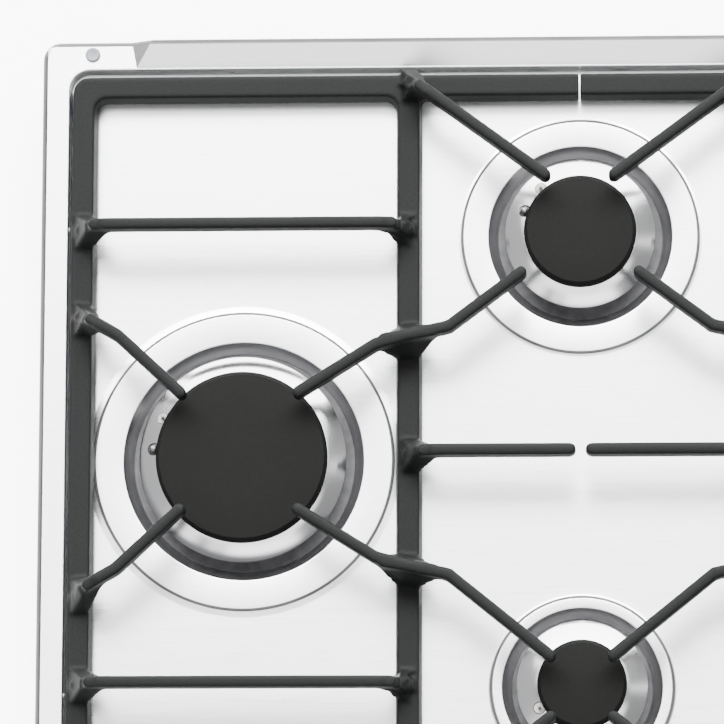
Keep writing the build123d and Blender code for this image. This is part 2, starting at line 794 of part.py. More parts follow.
with BuildPart() as tap_bodies:
    for row in knob_rows:
        with BuildSketch(Plane.XY.offset(rail_top_z)):
            with Locations((strip_x, row)):
                RectangleRounded(tap_width, tap_depth, collar_thick)
        extrude(amount=tap_height)
        with BuildSketch(Plane.XY.offset(plug_foot_z)):
            with Locations((strip_x, row)):
                Circle(plug_r + running_gap)
        extrude(amount=tap_height, mode=Mode.SUBTRACT)
        with BuildSketch(Plane.XY.offset(rail_top_z)):
            with Locations((strip_x, row)):
                Circle(gas_bore_r)
        extrude(amount=tap_height, mode=Mode.SUBTRACT)
        # The outlet on the burners' side takes the end of the pipe.
        with BuildSketch(Plane.YZ.offset(strip_x - tap_width / 2)):
            with Locations((row, pipe_z)):
                Circle(boss_r)
        extrude(amount=-boss_reach)
        with BuildSketch(Plane.YZ.offset(strip_x)):
            with Locations((row, pipe_z)):
                Circle(gas_bore_r)
        extrude(amount=-(tap_width / 2 + boss_reach), mode=Mode.SUBTRACT)
        with BuildSketch(Plane.YZ.offset(strip_x - tap_width / 2)):
            with Locations((row, pipe_z)):
                Circle(pipe_r + running_gap)
        extrude(amount=-boss_reach, mode=Mode.SUBTRACT)
        with BuildSketch(Plane.XY.offset(tap_top_z - cover_wall * 3)):
            with Locations((strip_x, row)):
                with Locations((-tap_screw_x, -tap_screw_y), (tap_screw_x, tap_screw_y)):
                    Circle(tap_screw_r)
        extrude(amount=tap_height, mode=Mode.SUBTRACT)
save(tap_bodies.part, "tap_bodies")

with BuildPart() as safety_magnets:
    for row in knob_rows:
        with BuildSketch(Plane.XZ.offset(-(row - tap_depth / 2))):
            with Locations((strip_x, magnet_z)):
                Circle(magnet_r)
        extrude(amount=magnet_length)
        with BuildSketch(Plane.XZ.offset(-(row - tap_depth / 2 - magnet_length))):
            with Locations((strip_x, magnet_z)):
                Circle(magnet_r / 2)
        extrude(amount=magnet_length / 3)
save(safety_magnets.part, "safety_magnets")

# A cover closes each tap. The spindle's collar is held under its neck.
with BuildPart() as tap_covers:
    for row in knob_rows:
        with BuildSketch(Plane.XY.offset(tap_top_z)):
            with Locations((strip_x, row)):
                RectangleRounded(tap_width, tap_depth, collar_thick)
        extrude(amount=cover_wall)
        with BuildSketch(Plane.XY.offset(tap_top_z + cover_wall)):
            with Locations((strip_x, row)):
                Circle(neck_r)
        extrude(amount=neck_height)
        with BuildSketch(Plane.XY.offset(tap_top_z)):
            with Locations((strip_x, row)):
                Circle(plug_r)
        extrude(amount=neck_height, mode=Mode.SUBTRACT)
        with BuildSketch(Plane.XY.offset(tap_top_z)):
            with Locations((strip_x, row)):
                Circle(spindle_r + running_gap)
                with Locations((-tap_screw_x, -tap_screw_y), (tap_screw_x, tap_screw_y)):
                    Circle(tap_screw_r + running_gap)
        extrude(amount=cover_wall + neck_height, mode=Mode.SUBTRACT)
save(tap_covers.part, "tap_covers")

with BuildPart() as tap_screws:
    for row in knob_rows:
        for turn in (-1, 1):
            place = (strip_x + turn * tap_screw_x, row + turn * tap_screw_y)
            with BuildSketch(Plane.XY.offset(tap_top_z + cover_wall)):
                with Locations(place):
                    Circle(tap_screw_r * 1.7)
            extrude(amount=tap_screw_r)
            with BuildSketch(Plane.XY.offset(tap_top_z - cover_wall * 3)):
                with Locations(place):
                    Circle(tap_screw_r)
            extrude(amount=cover_wall * 4)
save(tap_screws.part, "tap_screws")

# ---- Knobs, spindles, springs and tap plugs, one of each for every tap ----
knob_foot_z = rim_z + knob_lift
knob_top_z = knob_foot_z + knob_height
spindle_top_z = knob_top_z - knob_wall - seat_gap
flat_z = knob_foot_z + knob_wall
flat_face = spindle_r - flat_depth


def tap_plug(row):
    with BuildPart() as plug:
        with BuildSketch(Plane.XY.offset(plug_foot_z + seat_gap)):
            with Locations((strip_x, row)):
                Circle(plug_r)
        extrude(amount=plug_top_z - plug_foot_z - seat_gap)
        with BuildSketch(Plane.XY.offset(plug_top_z - slot_depth)):
            with Locations((strip_x, row)):
                Rectangle(2 * spindle_r + seat_gap, slot_width)
        extrude(amount=slot_depth, mode=Mode.SUBTRACT)
        # The gas way turns with the plug: shut at rest, it meets the outlet when turned.
        with BuildSketch(Plane.XZ.offset(-row)):
            with Locations((strip_x, plug_foot_z + plug_r / 4)):
                Circle(plug_r / 6)
        extrude(amount=plug_r * 2, mode=Mode.SUBTRACT)
    return plug.part


def tap_spindle(row):
    shaft_z = tap_top_z
    with BuildPart() as spindle:
        with BuildSketch(Plane.XY.offset(plug_top_z - tongue_drop)):
            with Locations((strip_x, row)):
                Rectangle(2 * spindle_r - seat_gap, slot_width - 2 * running_gap)
        extrude(amount=shaft_z - plug_top_z + tongue_drop)
        with BuildSketch(Plane.XY.offset(shaft_z)):
            with Locations((strip_x, row)):
                Circle(spindle_r)
        extrude(amount=spindle_top_z - shaft_z)
        with BuildSketch(Plane.XY.offset(collar_z)):
            with Locations((strip_x, row)):
                Circle(plug_r - seat_gap)
        extrude(amount=collar_thick)
        with BuildSketch(Plane.XY.offset(flat_z)):
            with Locations((strip_x, row + flat_face + spindle_r)):
                Rectangle(2 * spindle_r, 2 * spindle_r)
        extrude(amount=spindle_top_z - flat_z, mode=Mode.SUBTRACT)
    return spindle.part


# The spring is the plain sleeve that its wire fills, between the plug and the collar.
def spindle_spring(row):
    with BuildPart() as spring:
        with BuildSketch(Plane.XY.offset(plug_top_z)):
            with Locations((strip_x, row)):
                Circle(spindle_r + running_gap + spring_gauge)
                Circle(spindle_r + 2 * running_gap, mode=Mode.SUBTRACT)
        extrude(amount=collar_z - plug_top_z)
    return spring.part


def knob(row):
    with BuildPart() as cap:
        with BuildSketch(Plane.XZ.offset(-row)):
            with BuildLine():
                FilletPolyline(
                    (strip_x, knob_foot_z),
                    (strip_x + knob_r, knob_foot_z),
                    (strip_x + knob_top_r, knob_top_z),
                    (strip_x, knob_top_z),
                    radius=(knob_edge_r / 2, knob_edge_r),
                )
                Line((strip_x, knob_top_z), (strip_x, knob_foot_z))
            make_face()
        revolve(axis=Axis((strip_x, row, 0), (0, 0, 1)))
        # Hollow underneath, round a hub with a flat-sided socket for the spindle.
        with BuildSketch(Plane.XY.offset(knob_foot_z)):
            with Locations((strip_x, row)):
                Circle(knob_top_r - knob_wall)
                Circle(knob_hub_r, mode=Mode.SUBTRACT)
        extrude(amount=knob_height - knob_wall, mode=Mode.SUBTRACT)
        with BuildSketch(Plane.XY.offset(knob_foot_z)):
            with Locations((strip_x, row)):
                Circle(spindle_r + running_gap)
        extrude(amount=knob_height - knob_wall, mode=Mode.SUBTRACT)
        with BuildSketch(Plane.XY.offset(flat_z + running_gap)):
            with Locations((strip_x, row)):
                Circle(spindle_r + 2 * running_gap)
            with Locations((strip_x, row + flat_face + running_gap - spindle_r - 1)):
                Rectangle(2 * spindle_r + 2, 2 * spindle_r + 2, mode=Mode.SUBTRACT)
        extrude(amount=knob_top_z - knob_wall - flat_z - running_gap)
        # The pointer line on the top and down the front of the side.
        with BuildSketch(Plane.XY.offset(knob_top_z - pointer_depth)):
            with Locations((strip_x, row + knob_r * 0.7)):
                SlotOverall(knob_r * 0.5, pointer_width, rotation=90)
        extrude(amount=pointer_depth, mode=Mode.SUBTRACT)
    return cap.part


for number, row in enumerate(knob_rows, start=1):
    save(tap_plug(row), f"tap_plug_{number}")
    save(tap_spindle(row), f"tap_spindle_{number}")
    save(spindle_spring(row), f"spindle_spring_{number}")
    save(knob(row), f"knob_{number}")

seal_ring_r = 11.0
seal_ring_height = 0.7

with BuildPart() as knob_seals:
    for row in knob_rows:
        with BuildSketch(Plane.XY.offset(rim_z)):
            with Locations((strip_x, row)):
                Circle(seal_ring_r)
        extrude(amount=seal_ring_height)
        with BuildSketch(Plane.XY.offset(rim_z - sheet)):
            with Locations((strip_x, row)):
                Circle(spindle_r * 2 - running_gap)
        extrude(amount=sheet)
        with BuildSketch(Plane.XY.offset(rim_z - sheet)):
            with Locations((strip_x, row)):
                Circle(spindle_r + seat_gap)
        extrude(amount=sheet + seal_ring_height, mode=Mode.SUBTRACT)
save(knob_seals.part, "knob_seals")

# ---- Pipes from the taps to the burners, one for each, all at one height ----
pipe_bend = 18.0
pipe_jog = 30.0
pipe_start = 45.0
tap_face_x = strip_x - tap_width / 2
burner_named = {burner.name: burner for burner in burners}
tap_of = dict(zip(("front", "left", "right", "rear"), knob_rows))
# The left burner's pipe passes between the cups of the right and the front burner.
lane_y = (burner_named["right"].y - cup_r(burner_named["right"]) + front_burner_y
          + cup_r(burner_named["front"])) / 2
jog_x = strip_x - pipe_start
left_x = burner_named["left"].x + cup_r(burner_named["left"]) + pipe_start
right_x = burner_named["right"].x + cup_r(burner_named["right"]) + pipe_start / 2
# Points between the tap and the burner.
pipe_bends = {
    "front": [(jog_x, tap_of["front"]), (jog_x - pipe_jog, front_burner_y)],
    "left": [
        (jog_x, tap_of["left"]),
        (jog_x - pipe_jog, lane_y),
        (left_x + pipe_start, lane_y),
        (left_x, 0),
    ],
    "right": [(right_x + pipe_jog, tap_of["right"]), (right_x, 0)],
    "rear": [(jog_x, tap_of["rear"]), (jog_x - pipe_jog, rear_burner_y)],
}
nut_hex = 14.0
nut_length = 9.0

with BuildPart() as burner_pipes:
    for name, bends in pipe_bends.items():
        burner = burner_named[name]
        cup_end = burner.x + cup_r(burner)
        with BuildLine(Plane.XY.offset(pipe_z)):
            route = FilletPolyline(
                (tap_face_x, tap_of[name]), *bends, (cup_end, burner.y), radius=pipe_bend
            )
        with BuildSketch(Plane(origin=route @ 0, z_dir=route % 0)):
            Circle(pipe_r)
            Circle(pipe_r - pipe_wall, mode=Mode.SUBTRACT)
        sweep(path=route)
save(burner_pipes.part, "burner_pipes")

with BuildPart() as pipe_nuts:
    for name, row in tap_of.items():
        burner = burner_named[name]
        starts = (
            (tap_face_x - boss_reach - nut_length, row),
            (burner.x + cup_r(burner) + boss_reach, burner.y),
        )
        for start_x, nut_y in starts:
            with BuildSketch(Plane.YZ.offset(start_x)):
                with Locations((nut_y, pipe_z)):
                    RegularPolygon(nut_hex / 2, 6, major_radius=False)
                    Circle(pipe_r + running_gap, mode=Mode.SUBTRACT)
            extrude(amount=nut_length)
save(pipe_nuts.part, "pipe_nuts")

# ---- Ignition and flame safety ----
spark_inset_x = 188.0
spark_inset_y = 51.0
spark_length = 70.0
spark_depth = 40.0
spark_height = 24.0
lead_r = 1.3
lead_bend = 8.0
spark_lead_z = 4.0
sensor_lead_z = 8.5
post_pitch = 8.0
spark_x = strip_x - spark_inset_x
spark_y = box_half_y - spark_inset_y

with BuildPart() as spark_generator:
    with BuildSketch(Plane.XY.offset(sheet)):
        with Locations((spark_x, spark_y)):
            RectangleRounded(spark_length, spark_depth, 3)
    extrude(amount=spark_height)
    fillet(spark_generator.faces().sort_by(Axis.Z)[-1].edges(), 2)
save(spark_generator.part, "spark_generator")

# Leads run from the generator's left face along the floor, then up to each ceramic.
spark_face_x = spark_x - spark_length / 2
lead_turn = 19.0
lead_lanes = {
    "left": (3, None),
    "rear": (2, None),
    "front": (1, spark_face_x - 2.4 * lead_turn),
    "right": (0, spark_face_x - lead_turn),
}
front_lead_reach = 30.0

with BuildPart() as ignition_leads:
    for name, (lane, turn_x) in lead_lanes.items():
        burner = burner_named[name]
        pin_x, pin_y = pin_place(burner, burner.igniter)
        spark_lane_y = spark_y + post_pitch * (lane - 1.5)
        route_points = [(spark_face_x, spark_lane_y, spark_lead_z)]
        if turn_x is None:
            route_points += [(pin_x, spark_lane_y, spark_lead_z)]
        else:
            far_y = pin_y - front_lead_reach if name == "front" else pin_y
            route_points += [(turn_x, spark_lane_y, spark_lead_z), (turn_x, far_y, spark_lead_z)]
            if name == "front":
                route_points += [(pin_x, far_y, spark_lead_z)]
        route_points += [(pin_x, pin_y, spark_lead_z), (pin_x, pin_y, ceramic_foot_z)]
        with BuildLine():
            lead = FilletPolyline(*route_points, radius=lead_bend)
        with BuildSketch(Plane(origin=lead @ 0, z_dir=lead % 0)):
            Circle(lead_r)
        sweep(path=lead)
save(ignition_leads.part, "ignition_leads")

# Stiff copper leads run from each thermocouple to the magnet unit of its tap.
drop_x = strip_x - 24.0
lead_slant = 40.0
magnet_lead = tap_depth / 2 + magnet_length + magnet_length / 3

with BuildPart() as thermocouple_leads:
    for name, row in tap_of.items():
        burner = burner_named[name]
        pin_x, pin_y = pin_place(burner, burner.sensor)
        start_y = row - magnet_lead
        sensor_lane_y = start_y - lead_bend
        route_points = [
            (strip_x, start_y, magnet_z),
            (strip_x, sensor_lane_y, magnet_z),
            (drop_x, sensor_lane_y, magnet_z),
            (drop_x, sensor_lane_y, sensor_lead_z),
        ]
        if abs(sensor_lane_y - pin_y) < lead_slant:
            route_points.append((pin_x + lead_slant, sensor_lane_y, sensor_lead_z))
        else:
            route_points.append((pin_x, sensor_lane_y, sensor_lead_z))
        route_points += [(pin_x, pin_y, sensor_lead_z), (pin_x, pin_y, ceramic_foot_z)]
        with BuildLine():
            lead = FilletPolyline(*route_points, radius=lead_bend * 0.9)
        with BuildSketch(Plane(origin=lead @ 0, z_dir=lead % 0)):
            Circle(lead_r)
        sweep(path=lead)
save(thermocouple_leads.part, "thermocouple_leads")

# A microswitch beside each tap's neck closes when its spindle is pushed.
switch_width = 8.0
switch_depth = 14.0
switch_height = 5.0

with BuildPart() as ignition_switches:
    for row in knob_rows:
        with BuildSketch(Plane.XY.offset(tap_top_z + cover_wall)):
            with Locations((strip_x - neck_r - switch_width / 2, row)):
                Rectangle(switch_width, switch_depth)
        extrude(amount=switch_height)
save(ignition_switches.part, "ignition_switches")

terminal_x = strip_x - 76.0
terminal_length = 40.0
terminal_depth = 22.0
terminal_height = 20.0
gland_z = 20.0
gland_r = 8.0
gland_head_r = 11.0
gland_head = 6.0
gland_bore_r = 4.0
terminal_gap = 18.0
terminal_y = box_half_y - sheet - terminal_gap - terminal_depth / 2

with BuildPart() as terminal_block:
    with BuildSketch(Plane.XY.offset(sheet)):
        with Locations((terminal_x, terminal_y)):
            Rectangle(terminal_length, terminal_depth)
    extrude(amount=terminal_height)
    with BuildSketch(Plane.XY.offset(sheet + terminal_height / 2)):
        with Locations((terminal_x, terminal_y)):
            with GridLocations(terminal_length / 3, terminal_depth, 3, 1):
                Rectangle(terminal_length / 6, terminal_depth * 0.8)
    extrude(amount=terminal_height / 2, mode=Mode.SUBTRACT)
save(terminal_block.part, "terminal_block")

with BuildPart() as cable_gland:
    with BuildSketch(Plane.XZ.offset(-box_half_y)):
        with Locations((terminal_x, gland_z)):
            Circle(gland_head_r)
    extrude(amount=-gland_head)
    with BuildSketch(Plane.XZ.offset(-box_half_y)):
        with Locations((terminal_x, gland_z)):
            Circle(gland_r)
    extrude(amount=sheet + gland_head)
    with BuildSketch(Plane.XZ.offset(-(box_half_y + gland_head))):
        with Locations((terminal_x, gland_z)):
            Circle(gland_bore_r)
    extrude(amount=sheet + 2 * gland_head, mode=Mode.SUBTRACT)
    fillet(cable_gland.edges().group_by(Axis.Y)[-1].sort_by(SortBy.RADIUS)[-1], sheet)
save(cable_gland.part, "cable_gland")

# ---- Base box, seal and fixings ----
box_corner_r = recess_corner_r + 2 * sheet + box_gap
vent_rows = 8
vent_pitch = 16.0

with BuildPart() as box_screws:
    for place, way in wall_screws:
        with BuildSketch(outward(place, way, box_screw_z)):
            Circle(screw_head_r)
            RegularPolygon(screw_r / 2, 4, mode=Mode.SUBTRACT)
        extrude(amount=screw_head_height)
        with BuildSketch(outward(place, way, box_screw_z)):
            Circle(screw_r)
        extrude(amount=-box_screw_length)
save(box_screws.part, "box_screws")

# Clamps hook under the worktop from slots in the box's walls.
clamp_inset = 126.0
clamp_columns = (clamp_inset - box_half_x, box_half_x - 1.3 * clamp_inset)
clamp_places = [((x, side * box_half_y), (0, side)) for x in clamp_columns for side in (-1, 1)]
clamp_places += [((side * box_half_x, 0.0), (side, 0)) for side in (-1, 1)]
clamp_screw_z = 28.0
clamp_lip = 5.0
clamp_screw_length = 8.0
clamp_slot = 12.0

with BuildPart() as fixing_clamps:
    for place, way in clamp_places:
        x_way = (way[0], way[1], 0)
        section = Plane(origin=(place[0], place[1], 0), x_dir=x_way, z_dir=(way[1], -way[0], 0))
        with BuildSketch(section):
            Polygon(
                (0, clamp_foot_z),
                (clamp_reach, clamp_foot_z),
                (clamp_reach, clamp_foot_z + clamp_lip),
                (clamp_reach - clamp_sheet, clamp_foot_z + clamp_lip),
                (clamp_reach - clamp_sheet, clamp_foot_z + clamp_sheet),
                (clamp_sheet, clamp_foot_z + clamp_sheet),
                (clamp_sheet, clamp_head_z),
                (0, clamp_head_z),
                align=None,
            )
        extrude(amount=clamp_width / 2, both=True)
        with BuildSketch(outward(place, way, clamp_screw_z)):
            SlotOverall(clamp_slot, 2 * screw_r + seat_gap, rotation=90)
        extrude(amount=clamp_sheet, mode=Mode.SUBTRACT)
save(fixing_clamps.part, "fixing_clamps")

with BuildPart() as clamp_screws:
    for place, way in clamp_places:
        head = outward(place, way, clamp_screw_z)
        with BuildSketch(head.offset(clamp_sheet)):
            Circle(screw_head_r)
            RegularPolygon(screw_r / 2, 4, mode=Mode.SUBTRACT)
        extrude(amount=screw_head_height)
        with BuildSketch(head.offset(clamp_sheet)):
            Circle(screw_r)
        extrude(amount=-clamp_screw_length)
save(clamp_screws.part, "clamp_screws")

with BuildPart() as base_box:
    with BuildSketch():
        RectangleRounded(2 * box_half_x, 2 * box_half_y, box_corner_r)
    extrude(amount=box_top_z)
    with BuildSketch(Plane.XY.offset(sheet)):
        RectangleRounded(2 * (box_half_x - sheet), 2 * (box_half_y - sheet), box_corner_r - sheet)
    extrude(amount=box_top_z, mode=Mode.SUBTRACT)
    # Air slots in two fields of the floor.
    with BuildSketch():
        for vent_x in (-box_half_x / 2, box_half_x / 2):
            with Locations((vent_x, 0)):
                with GridLocations(vent_pitch, vent_length * 1.5, vent_rows, 2):
                    SlotOverall(vent_length, vent_width, rotation=90)
    extrude(amount=sheet, mode=Mode.SUBTRACT)
    # Holes for the inlet, the gland and the screws.
    with BuildSketch(Plane.XZ.offset(-box_half_y)):
        with Locations((strip_x, rail_z)):
            Circle(inlet_r + seat_gap)
        with Locations((terminal_x, gland_z)):
            Circle(gland_r + running_gap)
    extrude(amount=sheet, mode=Mode.SUBTRACT)
    for place, way in wall_screws:
        with BuildSketch(outward(place, way, box_screw_z)):
            Circle(screw_r + running_gap)
        extrude(amount=-sheet, mode=Mode.SUBTRACT)
    for place, way in clamp_places:
        with BuildSketch(outward(place, way, clamp_screw_z)):
            Circle(screw_r + running_gap)
        extrude(amount=-sheet, mode=Mode.SUBTRACT)
save(base_box.part, "base_box")

with BuildPart() as rim_seal:
    seal_outer_x = hob_right - sheet - seal_inset
    seal_outer_y = hob_rear - sheet - seal_inset
    with BuildSketch(Plane.XY.offset(worktop_z)):
        RectangleRounded(2 * seal_outer_x, 2 * seal_outer_y, corner_r - sheet - seal_inset)
        Rectangle(2 * (seal_outer_x - seal_width), 2 * (seal_outer_y - seal_width), mode=Mode.SUBTRACT)
    extrude(amount=rim_z - sheet - worktop_z)
save(rim_seal.part, "rim_seal")
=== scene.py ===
from collections import namedtuple
from math import asin, atan2, cos, hypot, pi, radians, sin

import bmesh
import bpy
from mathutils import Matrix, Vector


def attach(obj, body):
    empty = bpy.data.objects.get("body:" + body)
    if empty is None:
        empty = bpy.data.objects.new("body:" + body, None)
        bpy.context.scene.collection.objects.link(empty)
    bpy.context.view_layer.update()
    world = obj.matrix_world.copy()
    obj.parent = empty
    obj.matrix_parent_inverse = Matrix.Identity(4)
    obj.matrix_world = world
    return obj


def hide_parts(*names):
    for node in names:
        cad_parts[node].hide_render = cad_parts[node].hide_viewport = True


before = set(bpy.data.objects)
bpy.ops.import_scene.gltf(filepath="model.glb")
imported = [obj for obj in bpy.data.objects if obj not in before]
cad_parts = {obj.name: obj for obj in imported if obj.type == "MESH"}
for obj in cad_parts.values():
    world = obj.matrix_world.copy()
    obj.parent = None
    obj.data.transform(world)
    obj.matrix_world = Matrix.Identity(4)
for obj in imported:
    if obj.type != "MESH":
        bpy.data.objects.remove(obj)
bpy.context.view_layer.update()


# ---- Top plate ----
# One stainless sheet is pressed into a rim, a recess and four burner dishes with embossed rings.
# It is brushed along its length, and its skirt rests on the worktop.
mm = 0.001
# How far apart two places may be and still count as one, in metres.
hair = 1e-6
near = 1e-5
hob_right = 360 * mm
hob_rear = 250 * mm
corner_r = 10.5 * mm
corner_steps = 8
edge_r = 3 * mm
edge_ring = edge_r + mm
skirt_z = 46.5 * mm
floor_z = 47 * mm
rim_z = 54.5 * mm
sheet = 1 * mm
seam_x = -43.5 * mm
recess_half_x = 300.3 * mm
recess_half_y = 232.4 * mm
recess_corner_r = 11.7 * mm
opening_ring = 1.5 * mm
floor_ring = 4 * mm
opening_fold_r = 1.2 * mm
floor_fold_r = 1.6 * mm
rise_start = 304.5 * mm
rise_foot = 307.5 * mm
rise_head = 294.5 * mm
rise_height = 7 * mm
strip_x = 308.4 * mm
knob_rows = [-127.5 * mm, -42.5 * mm, 42.5 * mm, 127.5 * mm]
spindle_hole_r = 8 * mm
plug_x = 330.5 * mm
plug_y = 242 * mm
plug_hole_r = 3.45 * mm
hole_steps = 32
turned_steps = 128

# Each burner in millimetres: its middle, its cap, crown, dish and ring radii, and the run of its
# ring's slope. Then how many gas ports it has, and the bearings of its igniter and its sensor.
Burner = namedtuple("Burner", "x y cap_r crown_r dish_r ring_r ring_run ports igniter sensor")
burners = {
    "left": Burner(-240.2, 0, 50.0, 60.3, 70.2, 86.5, 5.2, 47, 153, 174),
    "front": Burner(-43.5, -133, 25.8, 37.8, 46.3, 51.7, 2.5, 22, 208, 238),
    "rear": Burner(-43.5, 132.3, 32.8, 43.9, 53.8, 68.2, 3.0, 29, 131, 158),
    "right": Burner(153.2, 0, 50.0, 60.3, 70.2, 86.5, 5.2, 47, 153, 174),
}


def deselect():
    """Leaves edit mode with nothing selected."""
    if bpy.context.mode != "OBJECT":
        bpy.ops.object.mode_set(mode="OBJECT")
    bpy.ops.object.select_all(action="DESELECT")


def pick(kind, test):
    """In edit mode, selects only the verts, edges or faces that pass the test."""
    bpy.context.tool_settings.mesh_select_mode = [kind == k for k in ("verts", "edges", "faces")]
    bpy.ops.mesh.select_all(action="DESELECT")
    mesh = bmesh.from_edit_mesh(bpy.context.object.data)
    for element in list(getattr(mesh, kind)):
        element.select_set(bool(test(element)))
    mesh.select_flush_mode()
    bmesh.update_edit_mesh(bpy.context.object.data)


def middle(element):
    """The mean place of an edge's or a face's verts."""
    return sum((v.co for v in element.verts), Vector()) / len(element.verts)


def is_at(element, level):
    """Whether an edge or a face lies at a level."""
    return all(abs(v.co.z - level) < hair for v in element.verts)


def is_rim_of(edge, level):
    """Whether an edge with an open side lies at a level."""
    return len(edge.link_faces) < 2 and is_at(edge, level)


def is_fold(edge):
    """Whether an edge joins an upright face to a level one."""
    slopes = [abs(face.normal.z) for face in edge.link_faces]
    return len(slopes) == 2 and min(slopes) < 0.3 and max(slopes) > 0.7


def rounded(profile, radius, steps=4):
    """A profile of (r, z) points with each inner corner turned into an arc."""
    line = [profile[0]]
    for before, corner, after in zip(profile, profile[1:], profile[2:]):
        corner_at = Vector(corner)
        back = Vector(before) - corner_at
        on = Vector(after) - corner_at
        turn = pi - back.angle(on)
        room = 0.45 * min(back.length, on.length)
        reach = min(radius * sin(turn / 2) / cos(turn / 2), room)
        start = corner_at + back.normalized() * reach
        end = corner_at + on.normalized() * reach
        for step in range(steps + 1):
            t = step / steps
            line.append(tuple(start * (1 - t) ** 2 + corner_at * 2 * t * (1 - t) + end * t ** 2))
    line.append(profile[-1])
    return line


def turn_on(x, y, profile, steps):
    """In edit mode, adds a profile in millimetres, turned about the upright line through x, y."""
    bpy.context.tool_settings.mesh_select_mode = (False, True, False)
    line = [(r * mm, z * mm) for r, z in profile]
    first_r, first_z = line[0]
    bpy.ops.mesh.primitive_circle_add(vertices=steps, radius=first_r, location=(x, y, first_z))
    for (r0, z0), (r1, z1) in zip(line, line[1:]):
        bpy.ops.mesh.extrude_edges_indiv()
        bpy.ops.transform.resize(value=(r1 / r0, r1 / r0, 1), center_override=(x, y, z0))
        bpy.ops.transform.translate(value=(0, 0, z1 - z0))


def merge_doubles():
    """In edit mode, merges the verts that share a place."""
    bpy.ops.mesh.select_all(action="SELECT")
    bpy.ops.mesh.remove_doubles(threshold=hair)


def face_outwards():
    """In edit mode, turns every face outwards."""
    bpy.ops.mesh.select_all(action="SELECT")
    bpy.ops.mesh.normals_make_consistent(inside=False)


def activate(piece):
    """Makes a piece the only selected one."""
    deselect()
    piece.select_set(True)
    bpy.context.view_layer.objects.active = piece


def smooth(piece, degrees):
    """Shades a piece smooth, but for edges sharper than this."""
    activate(piece)
    bpy.ops.object.shade_smooth_by_angle(angle=radians(degrees))


def apply(piece, kind, **settings):
    """Adds a modifier with these settings and applies it."""
    activate(piece)
    modifier = piece.modifiers.new(kind, kind)
    for name, value in settings.items():
        setattr(modifier, name, value)
    bpy.ops.object.modifier_apply(modifier=modifier.name)


deselect()
bpy.ops.mesh.primitive_plane_add(size=1, location=(0, 0, skirt_z))
plate = bpy.context.object
plate.name = "hob_sheet"
bpy.ops.object.transform_apply()
bpy.ops.object.mode_set(mode="EDIT")
# The skirt and the rim: a rounded rectangle raised to the rim, with a ring inside its edge.
bpy.ops.mesh.select_all(action="SELECT")
bpy.ops.transform.resize(value=(2 * hob_right, 2 * hob_rear, 1), center_override=(0, 0, skirt_z))
bpy.ops.mesh.bevel(affect="VERTICES", offset=corner_r, segments=corner_steps)
bpy.ops.mesh.select_all(action="SELECT")
bpy.ops.mesh.extrude_region_move(TRANSFORM_OT_translate={"value": (0, 0, rim_z - skirt_z)})
bpy.ops.mesh.inset(thickness=edge_ring)
bpy.ops.mesh.delete(type="ONLY_FACE")
pick("faces", lambda face: is_at(face, skirt_z))
bpy.ops.mesh.delete(type="ONLY_FACE")
# The recess: its opening's ring, its walls and the ring round its floor.
bpy.context.tool_settings.mesh_select_mode = (False, False, True)
bpy.ops.mesh.select_all(action="DESELECT")
bpy.ops.mesh.primitive_plane_add(size=1, location=(seam_x, 0, rim_z))
opening = (2 * (recess_half_x + opening_ring), 2 * (recess_half_y + opening_ring), 1)
bpy.ops.transform.resize(value=opening, center_override=(seam_x, 0, rim_z))
bpy.ops.mesh.bevel(
    affect="VERTICES", offset=recess_corner_r + opening_ring, segments=corner_steps
)
pick("faces", lambda face: len(face.verts) > 3 * corner_steps)
bpy.ops.mesh.inset(thickness=opening_ring)
bpy.ops.mesh.extrude_region_move(TRANSFORM_OT_translate={"value": (0, 0, floor_z - rim_z)})
bpy.ops.mesh.inset(thickness=floor_ring)
bpy.ops.mesh.delete(type="ONLY_FACE")
# The holes for the spindles and the plugs, then the flat of the rim around them all.
bpy.ops.mesh.select_all(action="DESELECT")
for row in knob_rows:
    bpy.ops.mesh.primitive_circle_add(
        vertices=hole_steps, radius=spindle_hole_r, location=(strip_x, row, rim_z)
    )
for side in (-1, 1):
    bpy.ops.mesh.primitive_circle_add(
        vertices=hole_steps, radius=plug_hole_r, location=(side * plug_x, plug_y, rim_z)
    )
# The raised rear rim begins level: a long face between two facets, each on three corners.
slope_y = recess_half_y + opening_ring
slope_run = hob_rear - slope_y
lip_y = hob_rear - edge_ring


def pick_corners(*places):
    """In edit mode, selects the verts at these places on the rim."""
    corners = [Vector((x, y, rim_z)) for x, y in places]
    pick("verts", lambda vert: min((vert.co - corner).length for corner in corners) < near)


def join(*places):
    """Joins the verts at these places on the rim into a face."""
    pick_corners(*places)
    bpy.ops.mesh.edge_face_add()


def lip_x(far_x):
    """Where a facet's edge that heads for far_x at the rear crosses the ring inside the edge."""
    return rise_start + (far_x - rise_start) * (lip_y - slope_y) / slope_run


def is_in_rear_strip(face):
    """Whether a face is in the ring of the recess's opening, along the rear."""
    return is_at(face, rim_z) and all(
        slope_y - opening_ring - near < v.co.y < slope_y + near for v in face.verts
    )


for side in (-1, 1):
    for far_x in (rise_foot, rise_head):
        pick("faces", lambda face: all(v.co.y > lip_y - near for v in face.verts))
        across = (slope_run, -side * (far_x - rise_start), 0)
        bpy.ops.mesh.bisect(plane_co=(side * rise_start, slope_y, rim_z), plane_no=across)
pick("faces", is_in_rear_strip)
bpy.ops.mesh.bisect(plane_co=(-rise_start, 0, rim_z), plane_no=(1, 0, 0))
opening_end = seam_x + recess_half_x - recess_corner_r
pick_corners((opening_end, slope_y))
outwards = {"value": (rise_start - opening_end, 0, 0)}
bpy.ops.mesh.extrude_vertices_move(TRANSFORM_OT_translate=outwards)
foots = [(side * lip_x(rise_foot), lip_y) for side in (-1, 1)]
heads = [(side * lip_x(rise_head), lip_y) for side in (-1, 1)]
starts = [(side * rise_start, slope_y) for side in (-1, 1)]
for start, foot, head in zip(starts, foots, heads):
    join(start, foot, head)
